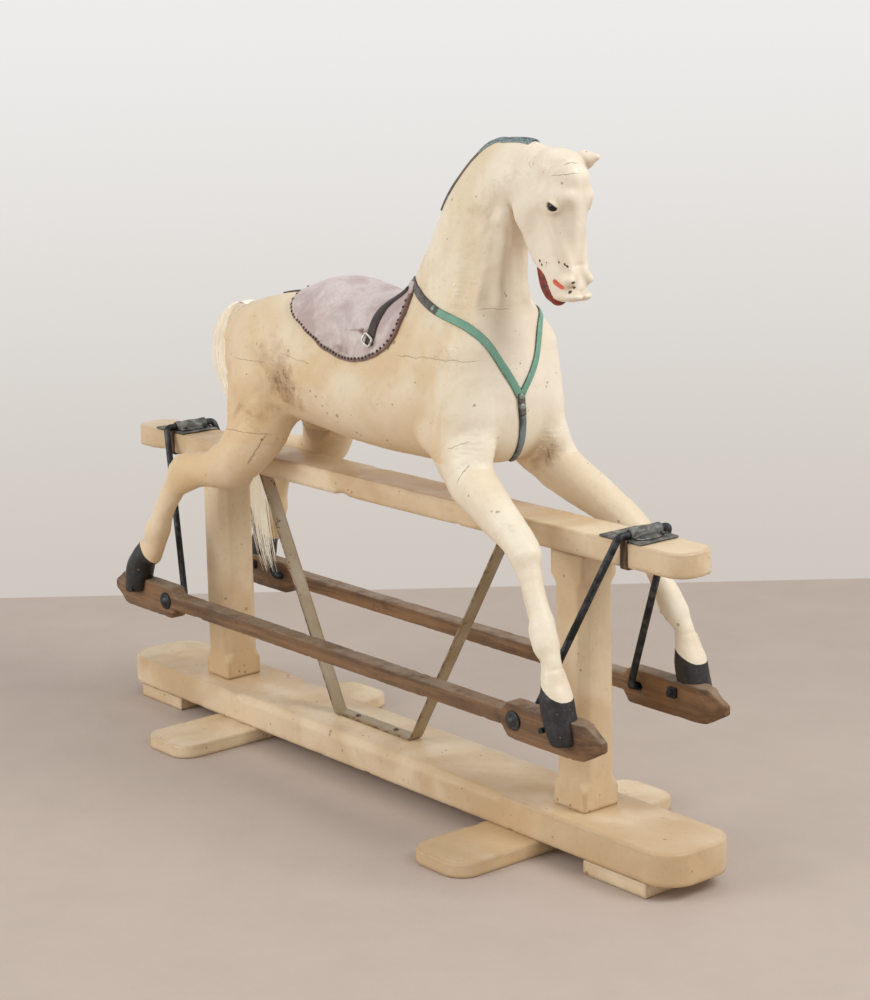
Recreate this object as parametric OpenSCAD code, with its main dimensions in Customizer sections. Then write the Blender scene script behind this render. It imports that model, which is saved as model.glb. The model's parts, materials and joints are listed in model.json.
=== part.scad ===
// Rocking horse of carved, painted wood on a swing ("safety") stand.
// X runs forward to the horse's head, Y to its left and Z up.
// The origin lies on the floor, at the middle of the stand.

/* [Stand] */
// Length of the base board
base_length = 1350; // [1250:10:1500]
// Width of the base board
base_width = 137; // [120:1:160]
// Thickness of the base board
base_thick = 48; // [36:1:60]
// Radius of the base board's corners
base_corner = 46; // [20:1:58]
// Thickness of the cross feet and end pads
foot_thick = 21; // [16:1:30]
// Width of each cross foot, along the base
foot_width = 118; // [90:1:150]
// Length of each cross foot, across the base
foot_length = 430; // [380:5:500]
// Distance of the rear cross foot from the middle
rear_foot_x = 337; // [300:1:350]
// Distance of the front cross foot from the middle
front_foot_x = 355; // [320:1:365]
// Length of each end pad
pad_length = 124; // [80:1:150]
// Side of the square posts
post_side = 66; // [60:1:74]
// Distance of each post from the middle
post_x = 440; // [400:1:450]
// Side of the tenons at the ends of the posts
tenon_side = 38; // [30:1:46]
// Depth of the tenons in the base and the rail
tenon_depth = 24; // [12:1:30]
// Length of the top rail
rail_length = 1336; // [1300:2:1400]
// Width of the top rail
rail_width = 74; // [70:1:84]
// Thickness of the top rail
rail_thick = 35; // [32:1:44]
// Height of the top rail's upper face above the floor
rail_height = 477; // [460:1:500]
// Radius of the top rail's corners
rail_corner = 30; // [10:1:34]
// Width of the stopped chamfers on the posts and the base
chamfer = 12; // [6:1:14]

/* [Brace] */
// Width of the flat iron brace
brace_width = 24; // [16:1:30]
// Thickness of the flat iron brace
brace_thick = 4; // [3:0.5:6]
// Length of the brace's flat foot on the base board
brace_foot = 194; // [160:1:230]
// Half the spread of the brace under the top rail
brace_spread = 303; // [260:1:330]
// Distance of the brace's middle behind the middle of the stand
brace_back = 43; // [20:1:60]
// Distance that the brace's arms lead its foot by, under the rail
brace_lead = 20; // [0:1:30]

/* [Swing irons] */
// Diameter of the round swing irons
iron_d = 11; // [9:0.5:12]
// Half the distance between the upper pivots
hanger_x = 553; // [540:1:570]
// Distance of the pivots' middle in front of the middle of the stand
swing_x = 8; // [0:1:12]
// Distance that the hanging horse stands off the middle of the stand, to its left
swing_y = -8; // [-10:1:0]
// Distance between an iron's upper and lower pivot
link_length = 288; // [280:1:296]
// Lean of the irons from the vertical, inwards at the foot
link_lean = 24; // [20:0.5:28]
// Thickness of the bracket plates
plate_thick = 4; // [2:0.5:5]
// Length of the bracket plates, along the rail
plate_length = 84; // [76:1:96]
// Wall of the bearing caps over the irons
cap_wall = 3.5; // [2.5:0.5:5]
// Diameter of the washers on the irons' ends
washer_d = 28; // [26:1:32]

/* [Hoof rails] */
// Length of each hoof rail
hoof_rail_length = 1208; // [1190:2:1230]
// Thickness of the hoof rails, across the horse
hoof_rail_thick = 27; // [24:1:32]
// Height of the wide ends of the hoof rails
hoof_rail_height = 52; // [48:1:60]
// Height of the narrow middle of the hoof rails
hoof_rail_waist = 24; // [18:1:30]
// Length of each wide end
hoof_rail_end = 182; // [178:1:200]
// Height of the pivots above the middle of the hoof rails
hoof_rail_drop = 2; // [0:0.5:5]
// Distance between the outer faces of the two hoof rails
hoof_rail_span = 260; // [250:1:280]

/* [Horse] */
// Height of the flat joint under the horse's haunches, above the lower pivots
hind_joint = 311; // [305:1:316]
// Thickness of the leather straps
strap_thick = 2.5; // [2:0.5:4]
// Width of the breast strap
strap_width = 17; // [12:1:24]
// Thickness of the saddle's leather and stuffing at its edge
saddle_thick = 5; // [4:0.5:8]
// Diameter of the glass eyes
eye_d = 16; // [12:1:18]
// Diameter of the bolts through the hooves
bolt_d = 8; // [6:0.5:9]
// Diameter of the tail's wooden plug
tail_plug_d = 26; // [20:1:30]

/* [Fits] */
// Clearance round pivots that turn, on the radius
turn_gap = 0.05; // [0.02:0.01:0.1]
// Clearance between parts of different moving bodies
side_gap = 0.4; // [0.3:0.1:1]
// Length that the slots for the front irons add to a round hole, towards the front
slot_play = 7; // [6.6:0.1:8]
// Clearance above and below the front irons in their slots
slot_gap = 0.45; // [0.35:0.05:0.8]
// Clearance round tenons, screws and bolts
fit_gap = 0.2; // [0.1:0.05:0.4]

/* [Hidden] */

CREAM = "#e9dcbb";
STAND = "#e6d2a6";
BARE = "#7a5a3c";
IRON = "#2e2c2b";
LEATHER = "#4a3228";
GREEN = "#6f9c87";
big = 2000;
round_n = 48;

base_z = foot_thick;
base_top = base_z + base_thick;
rail_z = rail_height - rail_thick;
pivot_z = rail_height + plate_thick + iron_d/2 + turn_gap;
low_x = hanger_x - link_length*sin(link_lean);
low_z = pivot_z - link_length*cos(link_lean);
hoof_rail_in = hoof_rail_span/2 - hoof_rail_thick;
iron_bend = 10;
washer_thick = 3;
iron_bend_y = rail_width/2 + iron_d/2 + 5;
iron_foot_y = hoof_rail_in - side_gap - iron_bend;
iron_end_y = hoof_rail_span/2 + side_gap + washer_thick + 3;

// ---------------------------------------------------------------- helpers

// A flat board with round corners, its length along X, standing on z = 0
module board(length, width, thick, corner) {
    linear_extrude(thick) {
        square([length - 2*corner, width], center = true);
        square([length, width - 2*corner], center = true);
        for (sx = [-1, 1], sy = [-1, 1])
            translate([sx*(length/2 - corner), sy*(width/2 - corner)]) circle(corner, $fn = round_n);
    }
}

// Cuts a stopped chamfer along Z between z0 and z1 on an edge that stands at distance d from the Z axis
module stopped_chamfer(d, z0, z1, size) {
    tongue = size*1.6;
    depth = size/sqrt(2);
    steps = 6;
    rise = [for (i = [0:steps]) [d - depth*(1 - cos(180*i/steps))/2, tongue*i/steps]];
    rotate([90, 0, 0]) translate([0, 0, -size*2]) linear_extrude(size*4)
        polygon(concat([[d + 1, z0]], [for (p = rise) [p[0], z0 + p[1]]],
            [for (i = [steps:-1:0]) [rise[i][0], z1 - rise[i][1]]], [[d + 1, z1]]));
}

// A closed skin over a list of rings with the same number of points, with flat fans at both ends
module skin(rings) {
    n = len(rings[0]);
    m = len(rings);
    mid = function(r) [for (k = [0:2]) (max([for (p = r) p[k]]) + min([for (p = r) p[k]]))/2];
    pts = [for (r = rings) each r, mid(rings[0]), mid(rings[m - 1])];
    sides = [for (i = [0:m - 2], j = [0:n - 1])
        let (a = i*n + j, b = i*n + (j + 1)%n, c = a + n, d = b + n) each [[a, b, d], [a, d, c]]];
    caps = [for (j = [0:n - 1]) each [[j, m*n, (j + 1)%n], [(m - 1)*n + j, (m - 1)*n + (j + 1)%n, m*n + 1]]];
    polyhedron(pts, concat(sides, caps));
}

// One ring of a limb: an egg about the line from the rear point to the front point of the side view.
// s holds rear x, rear z, front x, front z, middle y and half width; egg > 0 makes the front end fuller
function limb_ring(s, grow, n, egg) =
    let (cx = (s[0] + s[2])/2, cz = (s[1] + s[3])/2, ux = (s[2] - s[0])/2, uz = (s[3] - s[1])/2,
        half = norm([ux, uz]), kx = ux*(half + grow)/half, kz = uz*(half + grow)/half)
    [for (j = [0:n - 1]) let (t = 360*j/n)
        [cx + kx*cos(t), s[4] + (s[5] + grow)*sin(t)*(1 + egg*cos(t)), cz + kz*cos(t)]];

module limb(stations, grow, n, egg = 0) {
    skin([for (s = stations) limb_ring(s, grow, n, egg)]);
}

// Everything on the horse is drawn about the middle of the lower pivots
module on_horse() {
    translate([swing_x, swing_y, low_z]) children();
}

module both_sides() {
    children();
    mirror([0, 1, 0]) children();
}

// ---------------------------------------------------------------- stand

module base_board() {
    color(STAND) difference() {
        translate([0, 0, base_z]) board(base_length, base_width, base_thick, base_corner);
        for (sx = [-1, 1]) translate([sx*post_x, 0, base_top - tenon_depth/2 + 0.5])
            cube([tenon_side + 2*fit_gap, tenon_side + 2*fit_gap, tenon_depth + 1], center = true);
        for (sy = [-1, 1]) translate([0, sy*base_width/2, base_top]) rotate([45, 0, 0])
            cube([2*post_x - 2*post_side, chamfer/2, chamfer/2], center = true);
        at_foot_screws() screw_hole();
        at_brace_foot() translate([0, 0, -18]) cylinder(h = 30, d = 5 + 2*fit_gap, $fn = round_n);
    }
}

// Each foot is held by two screws on a diagonal
module at_foot_screws() {
    for (x = [-rear_foot_x, front_foot_x], s = [-1, 1])
        translate([x + s*foot_width/3, s*base_width/4, base_top]) children();
}

module screw_hole() {
    translate([0, 0, -4]) cylinder(h = 10, d = 14, $fn = round_n);
    translate([0, 0, -base_thick + 1]) cylinder(h = base_thick, d = 6 + 2*fit_gap, $fn = round_n);
}

module foot_screws() {
    color(IRON) at_foot_screws() {
        translate([0, 0, -4]) cylinder(h = 3.2, d = 13.6, $fn = round_n);
        translate([0, 0, -base_thick + 1.5]) cylinder(h = base_thick - 5.5, d = 6, $fn = round_n);
    }
}

module cross_foot(x) {
    color(STAND) translate([x, 0, 0]) rotate([0, 0, 90]) board(foot_length, foot_width, foot_thick, 34);
}

module rear_cross_foot() { cross_foot(-rear_foot_x); }

module front_cross_foot() { cross_foot(front_foot_x); }

module end_pad(side) {
    color(STAND) translate([side*(base_length/2 - pad_length/2 - 46), 0, foot_thick/2])
        cube([pad_length, base_width, foot_thick], center = true);
}

module rear_end_pad() { end_pad(-1); }

module front_end_pad() { end_pad(1); }

module post(side) {
    shaft = rail_z - base_top;
    color(STAND) translate([side*post_x, 0, base_top]) difference() {
        union() {
            translate([-post_side/2, -post_side/2, 0]) cube([post_side, post_side, shaft]);
            translate([-tenon_side/2, -tenon_side/2, -tenon_depth + fit_gap])
                cube([tenon_side, tenon_side, shaft + 2*tenon_depth - 2*fit_gap]);
        }
        for (a = [45:90:315]) rotate([0, 0, a])
            stopped_chamfer(post_side/sqrt(2), 24, shaft - 30, chamfer);
    }
}

module rear_post() { post(-1); }

module front_post() { post(1); }

module top_rail() {
    color(STAND) difference() {
        translate([0, 0, rail_z]) board(rail_length, rail_width, rail_thick, rail_corner);
        for (sx = [-1, 1]) translate([sx*post_x, 0, rail_z + tenon_depth/2 - 0.5])
            cube([tenon_side + 2*fit_gap, tenon_side + 2*fit_gap, tenon_depth + 1], center = true);
        at_brace_ends() translate([0, 0, -1]) cylinder(h = 20, d = 5 + 2*fit_gap, $fn = round_n);
        at_cap_screws() translate([0, 0, -14]) cylinder(h = 20, d = 4 + 2*fit_gap, $fn = round_n);
    }
}

// ---------------------------------------------------------------- brace

brace_tab = 34;

module at_brace_ends() {
    for (s = [-1, 1])
        translate([brace_lead - brace_back + s*(brace_spread + brace_tab*0.6), 0, rail_z]) children();
}

module at_brace_foot() {
    for (s = [-1, 1]) translate([-brace_back + s*brace_foot/4, 0, base_top]) children();
}

// The flat iron is bent in a wide V: a tab under the rail, an arm down, the foot and the same again
module brace_strap() {
    lo = base_top;
    hi = rail_z;
    f = brace_foot/2;
    s = brace_spread;
    rear = s - brace_lead;
    front = s + brace_lead;
    wr = brace_thick/cos(atan2(rear - f, hi - lo));
    wf = brace_thick/cos(atan2(front - f, hi - lo));
    color("#cfc2a4") translate([-brace_back, 0, 0]) difference() {
        translate([0, brace_width/2, 0]) rotate([90, 0, 0]) linear_extrude(brace_width)
            polygon([[-f, lo], [f, lo], [front, hi - brace_thick], [front + brace_tab, hi - brace_thick],
                [front + brace_tab, hi], [front - wf, hi], [f - wf, lo + brace_thick],
                [-f + wr, lo + brace_thick], [-rear + wr, hi], [-rear - brace_tab, hi], [-rear - brace_tab, hi - brace_thick],
                [-rear, hi - brace_thick]]);
        for (sx = [-1, 1]) translate([brace_lead + sx*(s + brace_tab*0.6), 0, hi - brace_thick - 1])
            cylinder(h = brace_thick + 2, d = 5 + 2*fit_gap, $fn = round_n);
        for (sx = [-1, 1]) translate([sx*f/2, 0, lo - 1])
            cylinder(h = brace_thick + 2, d = 5 + 2*fit_gap, $fn = round_n);
    }
}

module brace_screws() {
    color(IRON) {
        at_brace_ends() translate([0, 0, -brace_thick]) {
            cylinder(h = brace_thick + 16, d = 5, $fn = round_n);
            mirror([0, 0, 1]) dome(10, 3);
        }
        at_brace_foot() {
            translate([0, 0, -16]) cylinder(h = brace_thick + 16, d = 5, $fn = round_n);
            translate([0, 0, brace_thick]) dome(10, 3);
        }
    }
}

// A round screw or bolt head of diameter d and height h that stands on z = 0
module dome(d, h) {
    r = (d*d/4 + h*h)/(2*h);
    intersection() {
        translate([0, 0, h - r]) sphere(r, $fn = round_n);
        cylinder(h = h + 1, d = d + 1, $fn = round_n);
    }
}

// ---------------------------------------------------------------- brackets

cap_length = rail_width - 14;
cap_r = iron_d/2 + turn_gap + cap_wall;
cap_foot = 14;

module at_hanger(side) {
    translate([swing_x + side*hanger_x, 0, rail_height]) children();
}

module at_cap_screws() {
    for (side = [-1, 1], sx = [-1, 1], sy = [-1, 1]) at_hanger(side)
        translate([sx*(cap_r + cap_foot/2), sy*cap_length*0.32, 0]) children();
}

module bracket_plate(side) {
    color(IRON) difference() {
        at_hanger(side) translate([-10, 0, plate_thick/2])
            cube([plate_length, rail_width, plate_thick], center = true);
        at_cap_screws() translate([0, 0, -1])
            cylinder(h = plate_thick + 2, d = 4 + 2*fit_gap, $fn = round_n);
    }
}

module rear_bracket_plate() { bracket_plate(-1); }

module front_bracket_plate() { bracket_plate(1); }

// An omega-shaped strap of iron that holds the swing iron down on its plate
module bearing_cap(side) {
    w = cap_r + cap_foot;
    color(IRON) difference() {
        at_hanger(side) translate([0, 0, plate_thick]) {
            intersection() {
                translate([0, cap_length/2, iron_d/2 + turn_gap]) rotate([90, 0, 0])
                    cylinder(h = cap_length, r = cap_r, $fn = round_n);
                translate([-big/2, -big/2, 0]) cube([big, big, big]);
            }
            translate([-w, -cap_length/2, 0]) cube([2*w, cap_length, cap_wall]);
        }
        at_hanger(side) translate([0, cap_length/2 + 1, plate_thick + iron_d/2 + turn_gap])
            rotate([90, 0, 0]) cylinder(h = cap_length + 2, r = iron_d/2 + turn_gap, $fn = round_n);
        at_hanger(side) translate([-iron_d/2 - turn_gap, -cap_length/2 - 1, plate_thick - 1])
            cube([iron_d + 2*turn_gap, cap_length + 2, iron_d/2 + 1 + turn_gap]);
        at_cap_screws() cylinder(h = 20, d = 4 + 2*fit_gap, $fn = round_n);
    }
}

module rear_bearing_cap() { bearing_cap(-1); }

module front_bearing_cap() { bearing_cap(1); }

module cap_screws() {
    color(IRON) at_cap_screws() {
        translate([0, 0, plate_thick + cap_wall]) dome(8, 2.5);
        translate([0, 0, -13]) cylinder(h = 13 + plate_thick + cap_wall, d = 4, $fn = round_n);
    }
}

// Two narrow iron straps that hold the plate's edges and hook under the rail
module rail_strap(side) {
    t = 2.5;
    wide = 12;
    hook = 14;
    color(IRON) at_hanger(side) both_sides() {
        translate([-wide/2, rail_width/2, -rail_thick - t]) cube([wide, t, rail_thick + plate_thick + t]);
        translate([-wide/2, rail_width/2 - hook, -rail_thick - t]) cube([wide, hook, t]);
    }
}

module rear_rail_straps() { rail_strap(-1); }

module front_rail_straps() { rail_strap(1); }

// ---------------------------------------------------------------- swing irons

function unit(v) = v/norm(v);

elbow_lap = 2;

// A round rod bent at each inner point of a path, with true cylinders and round elbows that reach
// a little way into them
module bent_rod(path, d, bend) {
    last = len(path) - 1;
    dirs = [for (i = [0:last - 1]) unit(path[i + 1] - path[i])];
    turns = [for (i = [1:last - 1]) acos(dirs[i - 1]*dirs[i])];
    trim = concat([0], [for (a = turns) bend*tan(a/2)], [0]);
    for (i = [0:last - 1]) let (u = dirs[i], a = path[i] + trim[i]*u)
        translate(a) rotate([0, acos(u[2]), atan2(u[1], u[0])])
            cylinder(h = norm(path[i + 1] - path[i]) - trim[i] - trim[i + 1], d = d, $fn = round_n);
    for (i = [1:last - 1]) let (u = dirs[i - 1], w = dirs[i], turn = turns[i - 1],
            c = path[i] + unit(w - u)*bend/cos(turn/2), x = unit(path[i] - trim[i]*u - c), z = cross(x, u))
        multmatrix([[x[0], u[0], z[0], c[0]], [x[1], u[1], z[1], c[1]], [x[2], u[2], z[2], c[2]], [0, 0, 0, 1]])
            rotate([0, 0, -elbow_lap]) rotate_extrude(angle = turn + 2*elbow_lap, $fn = round_n)
                translate([bend, 0]) circle(d = d - 0.06, $fn = round_n);
}

module swing_iron(side) {
    top = [swing_x + side*hanger_x, 0, pivot_z];
    foot = [swing_x + side*low_x, swing_y, low_z];
    half = function(s) [top + [0, s*iron_bend_y, 0], foot + [0, s*iron_foot_y, 0], foot + [0, s*iron_end_y, 0]];
    near = half(-1);
    color(IRON) bent_rod(concat([for (i = [2:-1:0]) near[i]], half(1)), iron_d, iron_bend);
}

module rear_swing_iron() { swing_iron(-1); }

module front_swing_iron() { swing_iron(1); }

module iron_washers(side) {
    color(IRON) translate([swing_x + side*low_x, swing_y, low_z]) both_sides()
        translate([0, hoof_rail_span/2 + side_gap + washer_thick, 0]) rotate([90, 0, 0]) difference() {
            cylinder(h = washer_thick, d = washer_d, $fn = round_n);
            translate([0, 0, -1]) cylinder(h = washer_thick + 2, d = iron_d, $fn = round_n);
        }
}

module rear_iron_washers() { iron_washers(-1); }

module front_iron_washers() { iron_washers(1); }

// ---------------------------------------------------------------- hoof rails

bolt_x = 513;
bolt_z = 8;

rail_top = hoof_rail_height/2 - hoof_rail_drop;

// The outline has wide ends with cut-off tips and a narrow waist between them
module hoof_rail() {
    l = hoof_rail_length/2;
    h = hoof_rail_height/2;
    inner = l - hoof_rail_end;
    waist = hoof_rail_waist/2 + 2;
    slot_r = iron_d/2 + slot_gap;
    half = [[0, waist], [inner - 12, waist], [inner, h], [l - 30, h], [l, 6], [l, -6], [l - 34, -h],
        [inner, -h], [inner - 12, waist - hoof_rail_waist], [0, waist - hoof_rail_waist]];
    difference() {
        translate([0, -hoof_rail_in, -hoof_rail_drop]) rotate([90, 0, 0]) linear_extrude(hoof_rail_thick)
            polygon(concat(half, [for (i = [len(half) - 2:-1:1]) [-half[i][0], half[i][1]]]));
        translate([-low_x, 0, 0]) rotate([90, 0, 0])
            cylinder(h = hoof_rail_span, r = iron_d/2 + turn_gap, $fn = round_n);
        for (dx = [0, slot_play]) translate([low_x + dx, 0, 0]) rotate([90, 0, 0])
            cylinder(h = hoof_rail_span, r = slot_r, $fn = round_n);
        translate([low_x, -hoof_rail_span, -slot_r]) cube([slot_play, hoof_rail_span, 2*slot_r]);
        for (s = [-1, 1]) translate([s*bolt_x, 0, bolt_z]) rotate([90, 0, 0])
            cylinder(h = hoof_rail_span, d = bolt_d + 2*fit_gap, $fn = round_n);
    }
}

module right_hoof_rail() { color(BARE) on_horse() hoof_rail(); }

module left_hoof_rail() { color(BARE) on_horse() mirror([0, 1, 0]) hoof_rail(); }

lap = 24;

module hoof_bolts() {
    color(IRON) on_horse() both_sides() for (s = [-1, 1]) translate([s*bolt_x, 0, bolt_z])
        rotate([90, 0, 0]) translate([0, 0, hoof_rail_in - 12])
            cylinder(h = hoof_rail_thick + 12 + lap - 4, d = bolt_d, $fn = round_n);
}

module hoof_nuts() {
    side = 14;
    color(IRON) on_horse() both_sides() for (s = [-1, 1]) translate([s*bolt_x, -hoof_rail_in + 3.5, bolt_z])
        difference() {
            cube([side, 7, side], center = true);
            rotate([90, 0, 0]) cylinder(h = 20, d = bolt_d, center = true, $fn = round_n);
        }
}

// ---------------------------------------------------------------- carved horse

// Torso sections, from the breast back: place along X, top, bottom and half width
torso = [[328, 446, 404, 14], [323, 464, 390, 34], [312, 488, 364, 56], [298, 526, 336, 76],
    [272, 543, 320, 90], [212, 550, 311, 96], [142, 548, 307, 96], [72, 542, 306, 96],
    [-8, 531, 309, 95], [-98, 526, 318, 96], [-188, 525, 326, 98], [-245, 516, 328, 94],
    [-290, 502, 336, 83], [-322, 483, 352, 63], [-340, 458, 380, 36], [-346, 438, 400, 14]];

function torso_ring(s, grow, n) =
    let (mid = (s[1] + s[2])/2, half = (s[1] - s[2])/2 + grow, w = s[3] + grow, p = 0.84)
    [for (j = [0:n - 1]) let (t = 360*j/n + 180/n)
        [s[0], w*sign(cos(t))*pow(abs(cos(t)), p), mid + half*sign(sin(t))*pow(abs(sin(t)), p)]];

module torso_form(grow) {
    last = len(torso) - 1;
    skin([for (i = [0:last]) let (s = torso[i], dx = i == 0 ? grow : i == last ? -grow : 0)
        torso_ring([s[0] + dx, s[1], s[2], s[3]], grow, 28)]);
}

// Limb stations: rear x and z, front x and z in the side view, middle y and half width
foreleg = [[190, 440, 300, 470, 52, 34], [196, 400, 318, 430, 58, 38], [212, 338, 322, 376, 68, 37],
    [254, 300, 334, 332, 80, 32], [312, 262, 362, 310, 87, 28], [348, 246, 394, 292, 94, 26],
    [390, 232, 424, 270, 99, 24], [414, 220, 452, 244, 103, 22], [430, 206, 464, 220, 108, 17],
    [447, 184, 475, 194, 112, 15], [460, 163, 488, 170, 115, 14.5], [470, 138, 505, 146, 119, 17],
    [477, 116, 515, 124, 122, 19], [497, 92, 527, 96, 126, 15], [495, 66, 533, 50, 128, 22]];
hind_leg = [[-330, 400, -170, 400, 48, 38], [-318, 360, -166, 352, 61, 43], [-302, 311, -170, 311, 71, 42],
    [-304, 284, -220, 240, 85, 37], [-340, 264, -280, 212, 94, 32], [-392, 252, -352, 202, 101, 25],
    [-424, 236, -388, 190, 105, 21], [-440, 208, -412, 176, 109, 17], [-456, 180, -426, 158, 113, 15.5],
    [-468, 154, -440, 130, 117, 16.5], [-486, 122, -450, 98, 120, 19], [-486, 98, -460, 76, 123, 16],
    [-508, 84, -476, 50, 126, 22]];
neck_line = [[388, 764, 384, 706, 0, 26], [352, 777, 364, 700, 0, 31], [312, 783, 345, 690, 0, 35],
    [268, 778, 326, 690, 0, 38], [226, 752, 312, 680, 0, 40], [192, 718, 306, 662, 0, 42],
    [162, 680, 304, 636, 0, 45], [132, 634, 303, 600, 0, 49], [104, 588, 304, 560, 0, 57],
    [70, 540, 306, 500, 0, 72], [40, 480, 308, 440, 0, 84]];
skull = [[346, 764, 396, 766, 0, 14], [334, 752, 430, 753, 0, 27], [325, 735, 444, 736, 0, 36],
    [322, 707, 450, 706, 0, 39], [326, 682, 448, 680, 0, 33], [340, 654, 443, 652, 0, 27],
    [360, 624, 440, 623, 0, 24], [374, 600, 444, 597, 0, 24], [382, 582, 443, 579, 0, 23],
    [390, 567, 434, 565, 0, 18]];

neck_joint = 550;
fore_joint_slope = 22;
core_half = 42;

// Swellings carved in relief, each between two balls: from, to and their radii
breast_muscles = [[[226, -44, 474], [252, -50, 420], 48, 48], [[252, -50, 420], [258, -60, 376], 48, 40],
    [[262, -34, 456], [272, -34, 388], 46, 42]];
haunch_muscles = [[[-236, -36, 440], [-230, -52, 380], 58, 54], [[-230, -52, 380], [-208, -60, 350], 54, 43]];
neck_muscles = [[[312, -16, 706], [296, -22, 640], 14, 18], [[296, -22, 640], [284, -28, 560], 18, 22],
    [[284, -28, 560], [262, -38, 490], 22, 34], [[226, -16, 684], [186, -24, 610], 22, 22]];
head_muscles = [[[350, -14, 694], [358, -16, 664], 22, 16], [[406, -26, 688], [430, -16, 628], 9, 6],
    [[402, -27, 716], [434, -23, 714], 10, 9], [[430, -15, 598], [436, -13, 588], 10, 8],
    [[360, -12, 650], [394, -10, 584], 11, 8]];
foreleg_bones = [[[300, -82, 300], [352, -91, 282], 28, 22], [[418, -102, 250], [440, -105, 230], 18, 20],
    [[430, -105, 232], [446, -109, 206], 16, 11], [[459, -111, 196], [483, -117, 152], 9, 9],
    [[445, -112, 190], [467, -118, 150], 7, 7], [[485, -121, 136], [498, -124, 118], 16, 17],
    [[505, -126, 104], [515, -128, 74], 13, 17]];
hind_leg_bones = [[[-264, -84, 270], [-300, -92, 250], 32, 26], [[-392, -102, 228], [-408, -105, 214], 23, 19],
    [[-412, -104, 232], [-426, -106, 218], 12, 10], [[-424, -110, 176], [-448, -117, 146], 9, 9],
    [[-444, -111, 190], [-464, -118, 148], 7, 7], [[-462, -120, 118], [-474, -121, 108], 16, 17],
    [[-476, -123, 94], [-490, -126, 72], 13, 16]];

module swellings(list, grow) {
    for (m = list) hull() {
        translate(m[0]) sphere(m[2] + grow, $fn = 12);
        translate(m[1]) sphere(m[3] + grow, $fn = 12);
    }
}

// A hoof: a round coronet at the top and a wider, longer sole
module hoof(top, sole, grow) {
    hull() {
        translate([top[0], -top[1] - leg_spread(0), top[2]]) rotate([0, top[3], 0]) scale([1, 0.96, 1])
            cylinder(h = 3, r = 22 + grow, $fn = 20);
        translate([sole[0], -sole[1] - leg_spread(0), sole[2]]) scale([1.16, 1, 1])
            cylinder(h = 3, r = 22 + grow, $fn = 20);
    }
}

// The limbs lean outwards below the shoulder, as far as the hoof rails stand apart
function leg_spread(z) = (hoof_rail_span/2 - 130)*min(1, max(0, (300 - z)/200));

function spread_limb(list) =
    [for (s = list) [s[0], s[1], s[2], s[3], -s[4] - leg_spread((s[1] + s[3])/2), s[5]]];

function spread_bones(list) =
    [for (b = list) [for (k = [0:1]) b[k] - [0, leg_spread(b[k][2]), 0], b[2], b[3]]];

module fore_limb(grow) {
    limb(spread_limb(foreleg), grow, 14);
    swellings(spread_bones(foreleg_bones), grow);
    hoof([519, 127, 56, 14], [539, 129, -11, 0], grow);
}

module hind_limb(grow) {
    limb(spread_limb(hind_leg), grow, 14);
    swellings(spread_bones(hind_leg_bones), grow);
    hoof([-492, 126, 66, -40], [-526, 129, -6, 0], grow);
}

module limbs(grow) {
    both_sides() {
        fore_limb(grow);
        hind_limb(grow);
    }
}

// The space above the flat joints where the legs meet the body
module above_leg_joints() {
    translate([-big, -big/2, hind_joint]) cube([big, big, big]);
    translate([222, 0, 328]) rotate([0, -fore_joint_slope, 0])
        translate([-200, -big/2, 0]) cube([big, big, big]);
}

// The legs' own wood: all of the limbs below the joints, outside the middle of the body block
module leg_wood() {
    difference() {
        limbs(0);
        above_leg_joints();
        intersection() {
            torso_form(0);
            cube([big, 2*core_half, big], center = true);
        }
    }
}

// The body blocks meet at a glue line that climbs towards the head
module glue_half(up) {
    translate([0, 0, 464]) rotate([0, -3.3, 0])
        translate([-big/2, -big/2, up ? 0 : -big]) cube([big, big, big]);
}

module trunk(grow) {
    torso_form(grow);
    both_sides() {
        swellings(breast_muscles, grow);
        swellings(haunch_muscles, grow);
    }
    intersection() {
        limbs(grow);
        above_leg_joints();
    }
}

module neck_form(grow) {
    limb(neck_line, grow, 22, 0.22);
    both_sides() swellings(neck_muscles, grow);
}

module body_upper() {
    color(CREAM) on_horse() difference() {
        intersection() {
            union() {
                trunk(0);
                neck_form(0);
            }
            glue_half(true);
            translate([-big/2, -big/2, neck_joint - big]) cube([big, big, big]);
        }
        leg_wood();
        tail_plug_form(fit_gap*2);
    }
}

module body_lower() {
    color(CREAM) on_horse() difference() {
        intersection() {
            trunk(0);
            glue_half(false);
        }
        leg_wood();
    }
}

// The head's own block lies in front of a steep glued joint behind the cheeks
module head_region() {
    rotate([90, 0, 0]) linear_extrude(big, center = true)
        polygon([[340, 830], [318, 662], [326, 640], [326, 500], [600, 500], [600, 830]]);
}

module neck() {
    color(CREAM) on_horse() difference() {
        neck_form(0);
        translate([-big/2, -big/2, neck_joint - big]) cube([big, big, big]);
        head_region();
    }
}

// The left ear is whole, laid forward; of the right one only a low stump is left
module ear() {
    difference() {
        union() {
            hull() {
                translate([392, 21, 750]) sphere(14, $fn = 10);
                translate([420, 26, 757]) sphere(10.5, $fn = 10);
            }
            hull() {
                translate([420, 26, 757]) sphere(10.5, $fn = 10);
                translate([449, 27, 762]) sphere(3, $fn = 6);
            }
        }
        hull() {
            translate([410, 37, 756]) sphere(6, $fn = 10);
            translate([436, 34, 760]) sphere(3, $fn = 6);
        }
    }
}

module ear_stump() {
    translate([396, -21, 752]) scale([1.4, 1, 0.8]) sphere(12, $fn = 10);
}

eye = [421, -29, 698];

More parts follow.
